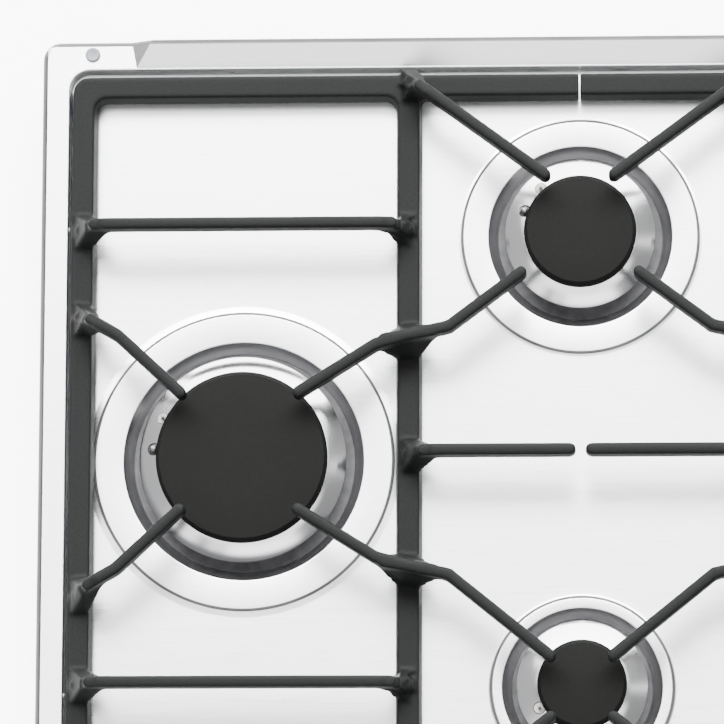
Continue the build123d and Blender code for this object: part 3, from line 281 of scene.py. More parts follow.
join(*starts, *heads, (opening_end, slope_y))
pick("edges", lambda edge: is_rim_of(edge, rim_z))
bpy.ops.mesh.fill(use_beauty=True)
# Each burner's pressing, in millimetres: the embossed ring between the recess's floor and the
# plateau, then the dish's wall and its floor, which ends under the crown.
recess_level = 47
plateau_level = 48.2
dish_level = 39
dish_wall_run = 5.5
# The ring's edge, each point by how far it is past the ring's radius and by its level.
ring_edge = [(1.7, 47.35), (1.0, 47.9), (0.6, 47.9)]
floor_margin = 4
floor_under_crown = 16
press_r = 0.9
for burner in burners.values():
    ring_r = burner.ring_r
    ring_foot_r = ring_r + burner.ring_run
    pressing = [
        (ring_foot_r + floor_margin, recess_level),
        (ring_foot_r, recess_level),
        *[(ring_r + past, level) for past, level in ring_edge],
        (ring_r, plateau_level),
        (burner.dish_r, plateau_level),
        (burner.dish_r - dish_wall_run, dish_level),
        (burner.crown_r - floor_under_crown, dish_level),
    ]
    bpy.ops.mesh.select_all(action="DESELECT")
    turn_on(burner.x * mm, burner.y * mm, rounded(pressing, press_r), turned_steps)
pick("edges", lambda edge: is_rim_of(edge, floor_z))
bpy.ops.mesh.fill(use_beauty=True)


def is_raised(vert):
    """Whether a vert is on the part of the rear rim that slopes up between the facets."""
    run = vert.co.y - slope_y
    head = rise_start + (rise_head - rise_start) * run / slope_run
    return vert.co.z > rim_z - hair and run > hair and abs(vert.co.x) < head + near


def is_outer_fold(edge):
    """Whether an edge is a fold outside the recess, so the fold round the rim."""
    at = middle(edge)
    outside = max(abs(at.x - seam_x) - recess_half_x, abs(at.y) - recess_half_y)
    return is_fold(edge) and outside > 10 * near


def is_opening_fold(edge):
    """Whether an edge is a fold round the recess's opening."""
    at = middle(edge)
    return is_fold(edge) and abs(at.z - rim_z) < near and abs(at.x - seam_x) < recess_half_x + near


def is_floor_fold(edge):
    """Whether an edge is a fold round the recess's floor."""
    return is_fold(edge) and abs(middle(edge).z - floor_z) < near


# The rear rim slopes up between two slanted facets.
pick("verts", is_raised)
slope = asin(rise_height / slope_run)
hinge = (0, slope_y, rim_z)
bpy.ops.transform.rotate(value=-slope, orient_axis="X", center_override=hinge)
bpy.ops.transform.resize(value=(1, 1 / cos(slope), 1), center_override=hinge)
# The press leaves a radius along each fold.
pick("edges", is_outer_fold)
bpy.ops.mesh.bevel(offset=edge_r, segments=6, profile=0.3)
pick("edges", is_opening_fold)
bpy.ops.mesh.bevel(offset=opening_fold_r, segments=4)
pick("edges", is_floor_fold)
bpy.ops.mesh.bevel(offset=floor_fold_r, segments=4)
merge_doubles()
face_outwards()
bpy.ops.object.mode_set(mode="OBJECT")
# An open sheet may come out facing down; its thickness has to grow down from its upper side.
if max(plate.data.polygons, key=lambda face: face.area).normal.z < 0:
    plate.data.flip_normals()
apply(plate, "SOLIDIFY", thickness=sheet, offset=-1)
smooth(plate, 20)


def new_finish(name, **sockets):
    """A material whose shader takes these values, named with _ for a space."""
    finish = bpy.data.materials.new(name)
    finish.use_nodes = True
    shader = finish.node_tree.nodes["Principled BSDF"]
    for socket, value in sockets.items():
        if socket == "Base_Color":
            value = (*value, 1)
        shader.inputs[socket.replace("_", " ")].default_value = value
    return finish


def texture(finish, kind, size, stretch=(1, 1, 1), **sockets):
    """A texture on object coordinates whose pattern is about this many metres across."""
    nodes, links = finish.node_tree.nodes, finish.node_tree.links
    place = nodes.new("ShaderNodeTexCoord")
    mapping = nodes.new("ShaderNodeMapping")
    mapping.inputs["Scale"].default_value = [1 / (size * s) for s in stretch]
    pattern = nodes.new(kind)
    pattern.inputs["Scale"].default_value = 1
    for socket, value in sockets.items():
        pattern.inputs[socket].default_value = value
    links.new(place.outputs["Object"], mapping.inputs["Vector"])
    links.new(mapping.outputs["Vector"], pattern.inputs["Vector"])
    return pattern.outputs["Fac" if "Fac" in pattern.outputs else "Distance"]


def tones(finish, value, dark, light, start=0.3, end=0.7):
    """Mixes the shader's colour from dark to light by a texture's value."""
    nodes, links = finish.node_tree.nodes, finish.node_tree.links
    ramp = nodes.new("ShaderNodeValToRGB")
    ramp.color_ramp.elements[0].position = start
    ramp.color_ramp.elements[1].position = end
    ramp.color_ramp.elements[0].color = (*dark, 1)
    ramp.color_ramp.elements[1].color = (*light, 1)
    links.new(value, ramp.inputs["Fac"])
    links.new(ramp.outputs["Color"], nodes["Principled BSDF"].inputs["Base Color"])


def roughen(finish, value, low, high, start=0.3, end=0.7):
    """Spreads the shader's roughness from low to high by a texture's value."""
    nodes, links = finish.node_tree.nodes, finish.node_tree.links
    spread = nodes.new("ShaderNodeMapRange")
    for socket, number in (
        ("From Min", start), ("From Max", end), ("To Min", low), ("To Max", high)
    ):
        spread.inputs[socket].default_value = number
    links.new(value, spread.inputs["Value"])
    links.new(spread.outputs["Result"], nodes["Principled BSDF"].inputs["Roughness"])


def emboss(finish, value, depth, strength=1.0):
    """Adds a relief of this depth, in metres, on top of those the finish has."""
    nodes, links = finish.node_tree.nodes, finish.node_tree.links
    relief = nodes.new("ShaderNodeBump")
    relief.inputs["Strength"].default_value = strength
    relief.inputs["Distance"].default_value = depth
    links.new(value, relief.inputs["Height"])
    normal = nodes["Principled BSDF"].inputs["Normal"]
    if normal.links:
        links.new(normal.links[0].from_socket, relief.inputs["Normal"])
    links.new(relief.outputs["Normal"], normal)


def dress(piece, finish, body, slot, *nodes):
    """Gives a finished piece its material, its body and the nodes it stands for; slot is not used.
    """
    piece.data.materials.clear()
    piece.data.materials.append(finish)
    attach(piece, body)
    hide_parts(*nodes)


def paint(piece, finish, test):
    """Adds a material to the active piece, on the faces that pass the test."""
    piece.data.materials.append(finish)
    bpy.ops.object.mode_set(mode="EDIT")
    piece.active_material_index = len(piece.data.materials) - 1
    pick("faces", test)
    bpy.ops.object.material_slot_assign()
    bpy.ops.object.mode_set(mode="OBJECT")


# The levels between which a face's middle counts as a dish's wall.
dish_floor_top = (dish_level + 0.3) * mm
dish_wall_top = 47.6 * mm
# A groove's faces lie over this level, within groove_half of groove_offset past the ring's radius.
groove_low = 46 * mm
groove_offset = 0.9
groove_half = 0.8 * mm


def off_axis(at, burner):
    """How far a place is from a burner's upright axis."""
    return hypot(at.x - burner.x * mm, at.y - burner.y * mm)


def is_dish_floor(face):
    """Whether a face is on the floor of a dish."""
    return middle(face).z < dish_floor_top


def is_shaded_edge(face):
    """Whether a face is on the rounded fold round the rim."""
    at = middle(face)
    outside = max(abs(at.x) - hob_right, abs(at.y) - hob_rear)
    return 0.2 < abs(face.normal.z) < 0.98 and outside > -edge_r


def is_dish_wall(face):
    """Whether a face is on the slanted wall of a dish."""
    at = middle(face)
    slants = dish_floor_top < at.z < dish_wall_top and 0.1 < abs(face.normal.z) < 0.9
    return slants and min(off_axis(at, b) - b.dish_r * mm for b in burners.values()) < 0


def is_groove(face):
    """Whether a face is in the groove at the foot of an embossed ring."""
    at = middle(face)
    turned = at.z > groove_low and len(face.verts) == 4
    return turned and min(
        abs(off_axis(at, b) - (b.ring_r + groove_offset) * mm) for b in burners.values()
    ) < groove_half


brushed_steel = new_finish(
    "brushed_steel", Metallic=1.0, Base_Color=(0.9, 0.905, 0.91), Anisotropic=0.7
)
strokes = texture(brushed_steel, "ShaderNodeTexNoise", 0.45 * mm, (70, 1, 1), Detail=3.0)
tones(brushed_steel, strokes, (0.875, 0.88, 0.885), (0.925, 0.93, 0.935))
roughen(brushed_steel, strokes, 0.27, 0.30)
emboss(brushed_steel, strokes, 0.003 * mm, 0.2)
# Light spreads across the brush strokes, so the tangent lies across them on every slope.
brush_way = (1, 0, -0.3)
steel_nodes = brushed_steel.node_tree.nodes
facing = steel_nodes.new("ShaderNodeNewGeometry")
across_strokes = steel_nodes.new("ShaderNodeVectorMath")
across_strokes.operation = "CROSS_PRODUCT"
across_strokes.inputs[1].default_value = brush_way
brushed_steel.node_tree.links.new(facing.outputs["Normal"], across_strokes.inputs[0])
brushed_steel.node_tree.links.new(
    across_strokes.outputs["Vector"], steel_nodes["Principled BSDF"].inputs["Tangent"]
)
dress(plate, brushed_steel, "hob", "stainless", "top_plate")
# The dishes' floors are painted nearly black: painted shade for the cavity under each crown.
shaded_dish_floor = new_finish("shaded_dish_floor", Base_Color=(0.06, 0.06, 0.06), Roughness=0.5)
dish_shade_noise = texture(shaded_dish_floor, "ShaderNodeTexNoise", 6 * mm, Detail=3.0)
tones(shaded_dish_floor, dish_shade_noise, (0.045, 0.045, 0.047), (0.08, 0.08, 0.083))
paint(plate, shaded_dish_floor, is_dish_floor)
# The rounded fold round the rim is painted dark grey: painted shade for the dim reflection it
# shows.
shaded_edge = new_finish(
    "shaded_edge_steel", Metallic=1.0, Base_Color=(0.3, 0.3, 0.31), Roughness=0.35
)
edge_shade_noise = texture(shaded_edge, "ShaderNodeTexNoise", 3 * mm, (12, 12, 1), Detail=2.0)
tones(shaded_edge, edge_shade_noise, (0.05, 0.05, 0.052), (0.07, 0.07, 0.073))
paint(plate, shaded_edge, is_shaded_edge)
# The dishes' walls are painted darker as shade, for the dark cavity under each crown that they
# mirror, and the grooves beside the rings get a painted shadow.
shaded_wall_steel = new_finish("shaded_wall_steel", Metallic=1.0, Base_Color=(0.4, 0.4, 0.41), Roughness=0.3)
wall_shade_noise = texture(shaded_wall_steel, "ShaderNodeTexNoise", 4 * mm, (8, 8, 1), Detail=2.0)
tones(shaded_wall_steel, wall_shade_noise, (0.42, 0.42, 0.43), (0.56, 0.56, 0.57))
paint(plate, shaded_wall_steel, is_dish_wall)
# Painted shadow: the groove at the foot of each ring is a dark band.
groove_shadow_paint = new_finish("groove_shadow_paint", Base_Color=(0.05, 0.05, 0.052), Roughness=0.6)
groove_shadow_noise = texture(groove_shadow_paint, "ShaderNodeTexNoise", 4 * mm, (8, 8, 1), Detail=2.0)
tones(groove_shadow_paint, groove_shadow_noise, (0.035, 0.035, 0.037), (0.06, 0.06, 0.063))
paint(plate, groove_shadow_paint, is_groove)


# ---- Hinge hole plugs ----
# Two grey plastic plugs close the holes that a lid's hinges would take. Each snaps in from above,
# and its head has a shallow dimple.
# In millimetres: the stem up to the rim, the head over it and the dimple in the head.
plug_stem_r = 3.3
plug_head_r = 4.4
plug_corner_r = 0.4
plug_line = [
    (plug_stem_r, 53.5), (plug_stem_r, 54.5), (plug_head_r, 54.5), (plug_head_r, 55.2),
    (3.6, 55.85), (1.6, 55.6), (0.2, 55.6),
]
plug_steps = 48
deselect()
bpy.ops.mesh.primitive_circle_add(
    vertices=plug_steps, radius=plug_stem_r * mm, location=(plug_x, plug_y, rim_z - sheet)
)
plugs = bpy.context.object
plugs.name = "rim_plugs"
bpy.ops.object.transform_apply()
bpy.ops.object.mode_set(mode="EDIT")
bpy.ops.mesh.delete(type="VERT")
for side in (-1, 1):
    bpy.ops.mesh.select_all(action="DESELECT")
    turn_on(side * plug_x, plug_y, rounded(plug_line, plug_corner_r), plug_steps)
    bpy.ops.mesh.edge_face_add()
pick("edges", lambda edge: is_rim_of(edge, rim_z - sheet))
bpy.ops.mesh.edge_face_add()
face_outwards()
smooth(plugs, 50)
grey_plastic = new_finish("grey_plastic", Base_Color=(0.16, 0.165, 0.18), Roughness=0.42)
mottle = texture(grey_plastic, "ShaderNodeTexNoise", 0.6 * mm, Detail=2.0)
tones(grey_plastic, mottle, (0.13, 0.135, 0.15), (0.19, 0.195, 0.21))
emboss(grey_plastic, mottle, 0.02 * mm, 0.5)
dress(plugs, grey_plastic, "hob", "grey_plastic", "hinge_hole_plugs")


# ---- Burner crowns ----
# Each crown is cast in aluminium, then its cone and its collar of gas ports are turned bright.
# It stands loose on its cup, and two holes in its cone clear the igniter and the sensor.
def empty_piece(name):
    """A piece with nothing in it yet, left in edit mode."""
    deselect()
    bpy.ops.mesh.primitive_circle_add(vertices=8, radius=mm)
    piece = bpy.context.object
    piece.name = name
    bpy.ops.object.mode_set(mode="EDIT")
    bpy.ops.mesh.delete(type="VERT")
    return piece


turned_metal = new_finish(
    "turned_aluminium", Metallic=1.0, Base_Color=(0.9, 0.905, 0.915), Anisotropic=0.85
)
rings = texture(turned_metal, "ShaderNodeTexNoise", 0.3 * mm, Detail=2.0)
tones(turned_metal, rings, (0.87, 0.875, 0.885), (0.92, 0.925, 0.935))
roughen(turned_metal, rings, 0.13, 0.17)
# The parts left as cast are painted far darker than cast aluminium: painted shade for the cavity
# under the crown.
shaded_cast_metal = new_finish(
    "cast_aluminium", Metallic=0.6, Base_Color=(0.12, 0.12, 0.125), Roughness=0.6
)
grain = texture(shaded_cast_metal, "ShaderNodeTexNoise", 0.8 * mm, Detail=4.0)
tones(shaded_cast_metal, grain, (0.06, 0.06, 0.065), (0.13, 0.13, 0.135))
emboss(shaded_cast_metal, grain, 0.08 * mm, 0.6)
# In millimetres: a hub, a web, a skirt in the cup, a cone over the dish and a collar of ports.
hub_bore_r = 8
hub_r = 10.5
hub_level = 46.5
hub_middle_level = 52
web_under_level = 56.1
web_level = 58.3
crown_skirt_level = 42.3
skirt_inset = 3
skirt_bore_inset = 6
cone_lip_level = 53.2
cone_foot_level = 55
cone_top_level = 60.5
cone_wall = 2.2
collar_inset = 5
collar_bore_inset = 8
collar_level = 62.8
port_foot_level = 59.7
port_level = 60.6
port_top_level = 61.5
port_depth = 2.4
crown_corner_r = 0.3
# The sides of the turned crown for each gas port.
sides_per_port = 4
# The holes for the igniter and the sensor stand just outside the cap.
pin_reach = 2
pin_hole_r = 3.7
pin_hole_depth = 12
pin_hole_level = 57


def crown_section(cap_r, crown_r):
    """The (r, z) points of a crown's section."""
    skirt_r, skirt_bore_r = cap_r - skirt_inset, cap_r - skirt_bore_inset
    collar_r, collar_bore_r = cap_r - collar_inset, cap_r - collar_bore_inset
    return [
        (hub_bore_r, hub_middle_level),
        (hub_bore_r, hub_level),
        (hub_r, hub_level),
        (hub_r, web_under_level),
        (skirt_bore_r, web_under_level),
        (skirt_bore_r, crown_skirt_level),
        (skirt_r, crown_skirt_level),
        (skirt_r, cone_foot_level),
        (crown_r, cone_lip_level),
        (crown_r, cone_foot_level),
        (cap_r, cone_top_level),
        (cap_r - cone_wall, cone_top_level),
        (cap_r - cone_wall, web_level),
        (collar_r, web_level),
        (collar_r, port_foot_level),
        (collar_r, port_top_level),
        (collar_r, collar_level),
        (collar_bore_r, collar_level),
        (collar_bore_r, web_level),
        (hub_bore_r, web_level),
        (hub_bore_r, hub_middle_level),
    ]


def is_port(face, burner):
    """Whether a face of a crown's collar is the one that becomes a gas port."""
    at = middle(face)
    off_collar = abs(off_axis(at, burner) - (burner.cap_r - collar_inset) * mm)
    if abs(at.z - port_level * mm) > 0.3 * mm or off_collar > 0.2 * mm:
        return False
    turn = atan2(at.y - burner.y * mm, at.x - burner.x * mm) / (2 * pi) % 1
    return int(turn * sides_per_port * burner.ports) % sides_per_port == 0


def is_shaded_cast(face):
    """Whether a face of a crown is left as cast and painted dark as shade: its parts below the
    cone, and its undersides.
    """
    return middle(face).z < (cone_foot_level - 0.1) * mm or face.normal.z < -0.5


for name, burner in burners.items():
    crown = empty_piece(f"{name}_crown_turned")
    section = rounded(crown_section(burner.cap_r, burner.crown_r), crown_corner_r, steps=2)
    turn_on(burner.x * mm, burner.y * mm, section, sides_per_port * burner.ports)
    merge_doubles()
    face_outwards()
    pick("faces", lambda face: is_port(face, burner))
    bpy.ops.mesh.extrude_faces_move(
        TRANSFORM_OT_shrink_fatten={"value": port_depth * mm}, MESH_OT_extrude_faces_indiv={}
    )
    bpy.ops.object.mode_set(mode="OBJECT")
    for bearing in (burner.igniter, burner.sensor):
        deselect()
        hole_x = burner.x + (burner.cap_r + pin_reach) * cos(radians(bearing))
        hole_y = burner.y + (burner.cap_r + pin_reach) * sin(radians(bearing))
        bpy.ops.mesh.primitive_cylinder_add(
            vertices=hole_steps,
            radius=pin_hole_r * mm,
            depth=pin_hole_depth * mm,
            location=(hole_x * mm, hole_y * mm, pin_hole_level * mm),
        )
        drill = bpy.context.object
        apply(crown, "BOOLEAN", operation="DIFFERENCE", object=drill, solver="EXACT")
        bpy.data.objects.remove(drill)
    smooth(crown, 30)
    dress(crown, turned_metal, f"{name}_crown", "turned_aluminium", f"{name}_burner_crown")
    paint(crown, shaded_cast_metal, is_shaded_cast)


# ---- Burner caps ----
# Each cap is a steel pressing with a matt black enamel, laid loose on its crown. A ring under it
# keeps it centred.
cap_enamel = new_finish(
    "cap_enamel", Base_Color=(0.005, 0.005, 0.005), Roughness=0.6, Specular_IOR_Level=0.06
)
speckle = texture(cap_enamel, "ShaderNodeTexNoise", 0.8 * mm, Detail=4.0)
tones(cap_enamel, speckle, (0.0035, 0.0038, 0.0033), (0.0055, 0.0059, 0.0052))
emboss(cap_enamel, speckle, 0.03 * mm, 0.4)
# In millimetres: the underside with a ring that centres the cap, then the rim and the dome.
cap_under_level = 63.1
cap_ring_level = 59.7
cap_ring_inset = 8.3
cap_ring_wall = 2
cap_rim_level = 65.2
cap_edge = 2.1
cap_shoulder_level = 67.34
cap_dome_level = 67.56
cap_crest_level = 67.8
cap_corner_r = 0.5
axle_r = 0.5
for name, burner in burners.items():
    cap = empty_piece(f"{name}_cap_enamelled")
    cap_r = burner.cap_r
    cap_ring_r = cap_r - cap_ring_inset
    section = [
        (axle_r, cap_under_level),
        (cap_ring_r - cap_ring_wall, cap_under_level),
        (cap_ring_r - cap_ring_wall, cap_ring_level),
        (cap_ring_r, cap_ring_level),
        (cap_ring_r, cap_under_level),
        (cap_r, cap_under_level),
        (cap_r, cap_rim_level),
        (cap_r - cap_edge, cap_shoulder_level),
        (cap_r * 0.5, cap_dome_level),
        (axle_r, cap_crest_level),
    ]
    turn_on(burner.x * mm, burner.y * mm, rounded(section, cap_corner_r), turned_steps)
    bpy.ops.mesh.edge_face_add()
    pick("edges", lambda edge: len(edge.link_faces) < 2)
    bpy.ops.mesh.edge_face_add()
    face_outwards()
    smooth(cap, 40)
    dress(cap, cap_enamel, f"{name}_cap", "black_enamel", f"{name}_burner_cap")


# ---- Pan supports ----
# Two cast iron grates, enamelled matt black, stand on rubber feet and meet at the seam. Each is
# one casting: a frame, the fingers over it, and webs from the frame up to the fingers.
def merged_copy(name, node):
    """A piece that starts as a node's own mesh, with its doubles merged."""
    piece = bpy.data.objects.new(name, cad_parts[node].data.copy())
    bpy.context.scene.collection.objects.link(piece)
    activate(piece)
    bpy.ops.mesh.customdata_custom_splitnormals_clear()
    bpy.ops.object.mode_set(mode="EDIT")
    merge_doubles()
    bpy.ops.object.mode_set(mode="OBJECT")
    return piece


cast_iron = new_finish(
    "cast_iron_enamel", Base_Color=(0.007, 0.007, 0.007), Roughness=0.55, Specular_IOR_Level=0.08
)
sand = texture(cast_iron, "ShaderNodeTexNoise", 0.9 * mm, Detail=5.0)
tones(cast_iron, sand, (0.0045, 0.005, 0.0047), (0.009, 0.0098, 0.0094))
emboss(cast_iron, sand, 0.12 * mm, 0.6)
# Places on the left grate, in millimetres; the right one is its mirror image about the seam.
inner_bar_x = -143.5
outer_bar_x = -334.8
span_y = 133.5
side_finger_y = 82
corner_finger_y = 220.2
# Each leg: its place on the bar, then a place that its finger heads for.
legs = [
    (inner_bar_x, 0, -43.5, 0),
    (outer_bar_x, span_y, inner_bar_x, span_y),
    (outer_bar_x, -span_y, inner_bar_x, -span_y),
    (inner_bar_x, span_y, outer_bar_x, span_y),
    (inner_bar_x, -span_y, outer_bar_x, -span_y),
    (outer_bar_x, side_finger_y, outer_bar_x + 24, 68),
    (outer_bar_x, -side_finger_y, outer_bar_x + 24, -68),
    (inner_bar_x, corner_finger_y, -63.5, 161.1),
    (inner_bar_x, -corner_finger_y, -61.5, -154),
]
# Where a finger crosses the inner bar: its place, and how far its web turns off the X axis.
crossings = [(inner_bar_x, 67, -0.24), (inner_bar_x, -67, 0.24)]
# A web's patch on the bar and its head under the finger, in millimetres.
web_foot = (10, 22, 5)
web_foot_level = 64
web_rise = 15
web_head_width = 5.6
leg_head_length = 15
leg_lean = 11
crossing_head_length = 38
# The voxel of the skin that runs a casting's parts together, in metres.
skin_voxel = 0.0011


def add_web(x, y, shift, turn, length):
    """In edit mode, adds a web from a patch on a bar up to a finger's underside."""
    root = (x, y, web_foot_level * mm)
    bpy.ops.mesh.select_all(action="DESELECT")
    bpy.ops.mesh.primitive_cube_add(size=mm, location=root)
    mesh = bmesh.from_edit_mesh(bpy.context.object.data)
    added = {vert.index for vert in mesh.verts if vert.select}
    bpy.ops.transform.resize(value=web_foot, center_override=root)
    pick("verts", lambda vert: vert.index in added and vert.co.z > web_foot_level * mm)
    bpy.ops.transform.translate(value=(*shift, web_rise * mm))
    head = (x + shift[0], y + shift[1], 0)
    narrowed = (length / web_foot[0], web_head_width / web_foot[1], 1)
    bpy.ops.transform.resize(value=narrowed, center_override=head)
    bpy.ops.transform.rotate(value=-turn, orient_axis="Z", center_override=head)


for side, mirror in (("left", 1), ("right", -1)):
    support = merged_copy(f"{side}_grate", f"{side}_pan_support")
    bpy.ops.object.mode_set(mode="EDIT")
    for x, y, to_x, to_y in legs:
        heading = Vector((mirror * (to_x - x), to_y - y, 0)).normalized()
        lean = (heading.x * leg_lean * mm, heading.y * leg_lean * mm)
        place = seam_x + mirror * (x * mm - seam_x)
        add_web(place, y * mm, lean, atan2(heading.y, heading.x), leg_head_length)
    for x, y, slant in crossings:
        place = seam_x + mirror * (x * mm - seam_x)
        add_web(place, y * mm, (0, 0), -mirror * slant, crossing_head_length)
    bpy.ops.object.mode_set(mode="OBJECT")
    apply(support, "REMESH", mode="VOXEL", voxel_size=skin_voxel)
    apply(support, "SMOOTH", factor=0.5, iterations=5)
    apply(support, "DECIMATE", ratio=0.6)
    smooth(support, 60)
    dress(support, cast_iron, f"{side}_support", "cast_iron", f"{side}_pan_support")


# ---- Control knobs ----
# Four knobs of satin metal push down on the spindles and turn with them. Each has a pointer line
# cut in its top, and stands over a rubber ring that seals its hole in the plate.
def coat(finish, *nodes):
    """Gives nodes of the frame this material."""
    for node in nodes:
        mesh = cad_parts[node].data
        mesh.materials.clear()
        mesh.materials.append(finish)


satin_metal = new_finish("satin_knob", Metallic=1.0, Base_Color=(0.45, 0.45, 0.46), Roughness=0.32)
blasting = texture(satin_metal, "ShaderNodeTexNoise", 0.25 * mm, Detail=3.0)
tones(satin_metal, blasting, (0.38, 0.38, 0.39), (0.48, 0.48, 0.49))
roughen(satin_metal, blasting, 0.28, 0.38)
emboss(satin_metal, blasting, 0.01 * mm, 0.5)
coat(satin_metal, "knob_1", "knob_2", "knob_3", "knob_4")
black_rubber = new_finish("black_rubber", Base_Color=(0.02, 0.02, 0.02), Roughness=0.75)
bloom = texture(black_rubber, "ShaderNodeTexNoise", 2 * mm, Detail=4.0)
tones(black_rubber, bloom, (0.014, 0.014, 0.014), (0.03, 0.03, 0.03))
roughen(black_rubber, bloom, 0.65, 0.85)
coat(black_rubber, "knob_seals")


# ---- Feet and seals ----
# Small rubber feet under the pan supports keep the iron off the sheet, and a strip of closed-cell
# foam under the rim seals the hob to the worktop. The mains lead's gland is nylon.
coat(black_rubber, "left_support_feet", "right_support_feet")
foam = new_finish("black_foam", Base_Color=(0.03, 0.03, 0.03), Roughness=0.95)
cells = texture(foam, "ShaderNodeTexVoronoi", 0.8 * mm)
tones(foam, cells, (0.015, 0.015, 0.015), (0.045, 0.045, 0.045), 0.1, 0.6)
emboss(foam, cells, 0.2 * mm)
coat(foam, "rim_seal")
black_plastic = new_finish("black_nylon", Base_Color=(0.03, 0.03, 0.03), Roughness=0.45)
flow = texture(black_plastic, "ShaderNodeTexNoise", 1.5 * mm, Detail=3.0)
tones(black_plastic, flow, (0.022, 0.022, 0.022), (0.036, 0.036, 0.036))
roughen(black_plastic, flow, 0.38, 0.52)
coat(black_plastic, "cable_gland", "ignition_switches", "spark_generator")


# ---- Igniters and sensors ----
# At each burner a glazed ceramic igniter with a steel tip and a thermocouple stand in the crown's
# two holes. They are held from below.
glaze = new_finish("white_ceramic", Base_Color=(0.5, 0.49, 0.46), Roughness=0.22)
firing = texture(glaze, "ShaderNodeTexNoise", 1.2 * mm, Detail=3.0)
tones(glaze, firing, (0.40, 0.39, 0.36), (0.56, 0.55, 0.52))
roughen(glaze, firing, 0.16, 0.30)
coat(glaze, "igniter_ceramics")
nickel = new_finish("nickel_steel", Metallic=1.0, Base_Color=(0.2, 0.19, 0.18), Roughness=0.3)
heat_marks = texture(nickel, "ShaderNodeTexNoise", 1.0 * mm, Detail=3.0)
tones(nickel, heat_marks, (0.08, 0.078, 0.075), (0.26, 0.25, 0.24))
roughen(nickel, heat_marks, 0.22, 0.40)
coat(nickel, "igniter_tips", "thermocouples")


# ---- Base box and its fixings ----
# A box folded from galvanised sheet closes the hob below. Zinc-plated screws hold it to the
# plate, and six spring-steel clamps with screws pull the hob down on the worktop.
zinc_sheet = new_finish("galvanised_sheet", Metallic=1.0, Base_Color=(0.2, 0.205, 0.21))
spangle = texture(zinc_sheet, "ShaderNodeTexVoronoi", 9 * mm)
tones(zinc_sheet, spangle, (0.13, 0.134, 0.138), (0.26, 0.266, 0.272), 0.1, 0.8)
roughen(zinc_sheet, spangle, 0.34, 0.50, 0.1, 0.8)
coat(zinc_sheet, "base_box", "fixing_clamps", "rail_brackets")
zinc_plate = new_finish("zinc_plated_screw", Metallic=1.0, Base_Color=(0.62, 0.60, 0.55))
plating = texture(zinc_plate, "ShaderNodeTexNoise", 0.7 * mm, Detail=3.0)
tones(zinc_plate, plating, (0.54, 0.52, 0.46), (0.70, 0.68, 0.64))
roughen(zinc_plate, plating, 0.26, 0.40)
coat(zinc_plate, "box_screws", "clamp_screws", "burner_screws", "tap_screws")


# ---- Burner cups, injectors and pipes ----
# Under each crown a die-cast cup mixes gas with air. A brass injector stands in it, fed by an
# aluminium pipe with a brass nut.
die_cast = new_finish("die_cast_aluminium", Metallic=1.0, Base_Color=(0.5, 0.5, 0.51))
skin = texture(die_cast, "ShaderNodeTexNoise", 1.5 * mm, Detail=5.0)
tones(die_cast, skin, (0.42, 0.42, 0.43), (0.56, 0.56, 0.57))
roughen(die_cast, skin, 0.45, 0.62)
emboss(die_cast, skin, 0.05 * mm, 0.6)
coat(die_cast, *[f"{name}_burner_cup" for name in burners])
brass = new_finish("machined_brass", Metallic=1.0, Base_Color=(0.72, 0.53, 0.27))
tooling = texture(brass, "ShaderNodeTexNoise", 0.5 * mm, Detail=3.0)
tones(brass, tooling, (0.66, 0.47, 0.22), (0.78, 0.59, 0.32))
roughen(brass, tooling, 0.20, 0.34)
coat(brass, "injectors", "pipe_nuts", "gas_inlet")
drawn_metal = new_finish("drawn_aluminium", Metallic=1.0, Base_Color=(0.74, 0.74, 0.75))
drawing = texture(drawn_metal, "ShaderNodeTexNoise", 0.6 * mm, Detail=3.0)
tones(drawn_metal, drawing, (0.68, 0.68, 0.69), (0.80, 0.80, 0.81))
roughen(drawn_metal, drawing, 0.28, 0.42)
coat(drawn_metal, "burner_pipes")


# ---- Gas rail and taps ----
# A square steel rail feeds four taps. Each tap's aluminium body holds a brass plug that the
# spindle turns, a return spring under the spindle and a magnet that shuts the gas off.
coat(zinc_sheet, "gas_rail")
coat(die_cast, "tap_bodies", "tap_covers")
for number in (1, 2, 3, 4):
    coat(brass, f"tap_plug_{number}")
    coat(zinc_plate, f"tap_spindle_{number}", f"spindle_spring_{number}")
coat(nickel, "safety_magnets")


# ---- Ignition and leads ----
# A spark generator and four switches fire the igniters through rubber-covered leads. Copper
# capillaries run from the sensors to the magnets, and a white block joins the mains lead.
lead_cover = new_finish("pale_lead_rubber", Base_Color=(0.55, 0.52, 0.46), Roughness=0.6)
dust = texture(lead_cover, "ShaderNodeTexNoise", 1.5 * mm, Detail=3.0)
tones(lead_cover, dust, (0.46, 0.43, 0.38), (0.60, 0.57, 0.51))
roughen(lead_cover, dust, 0.5, 0.7)
coat(lead_cover, "ignition_leads")
copper = new_finish("drawn_copper", Metallic=1.0, Base_Color=(0.72, 0.42, 0.28))
tarnish = texture(copper, "ShaderNodeTexNoise", 1.0 * mm, Detail=4.0)
tones(copper, tarnish, (0.55, 0.30, 0.19), (0.80, 0.48, 0.33))
roughen(copper, tarnish, 0.25, 0.42)
coat(copper, "thermocouple_leads")
white_plastic = new_finish("white_nylon", Base_Color=(0.72, 0.72, 0.70), Roughness=0.45)
sink_marks = texture(white_plastic, "ShaderNodeTexNoise", 2 * mm, Detail=3.0)
tones(white_plastic, sink_marks, (0.68, 0.68, 0.66), (0.76, 0.76, 0.74))
roughen(white_plastic, sink_marks, 0.38, 0.52)
coat(white_plastic, "terminal_block")


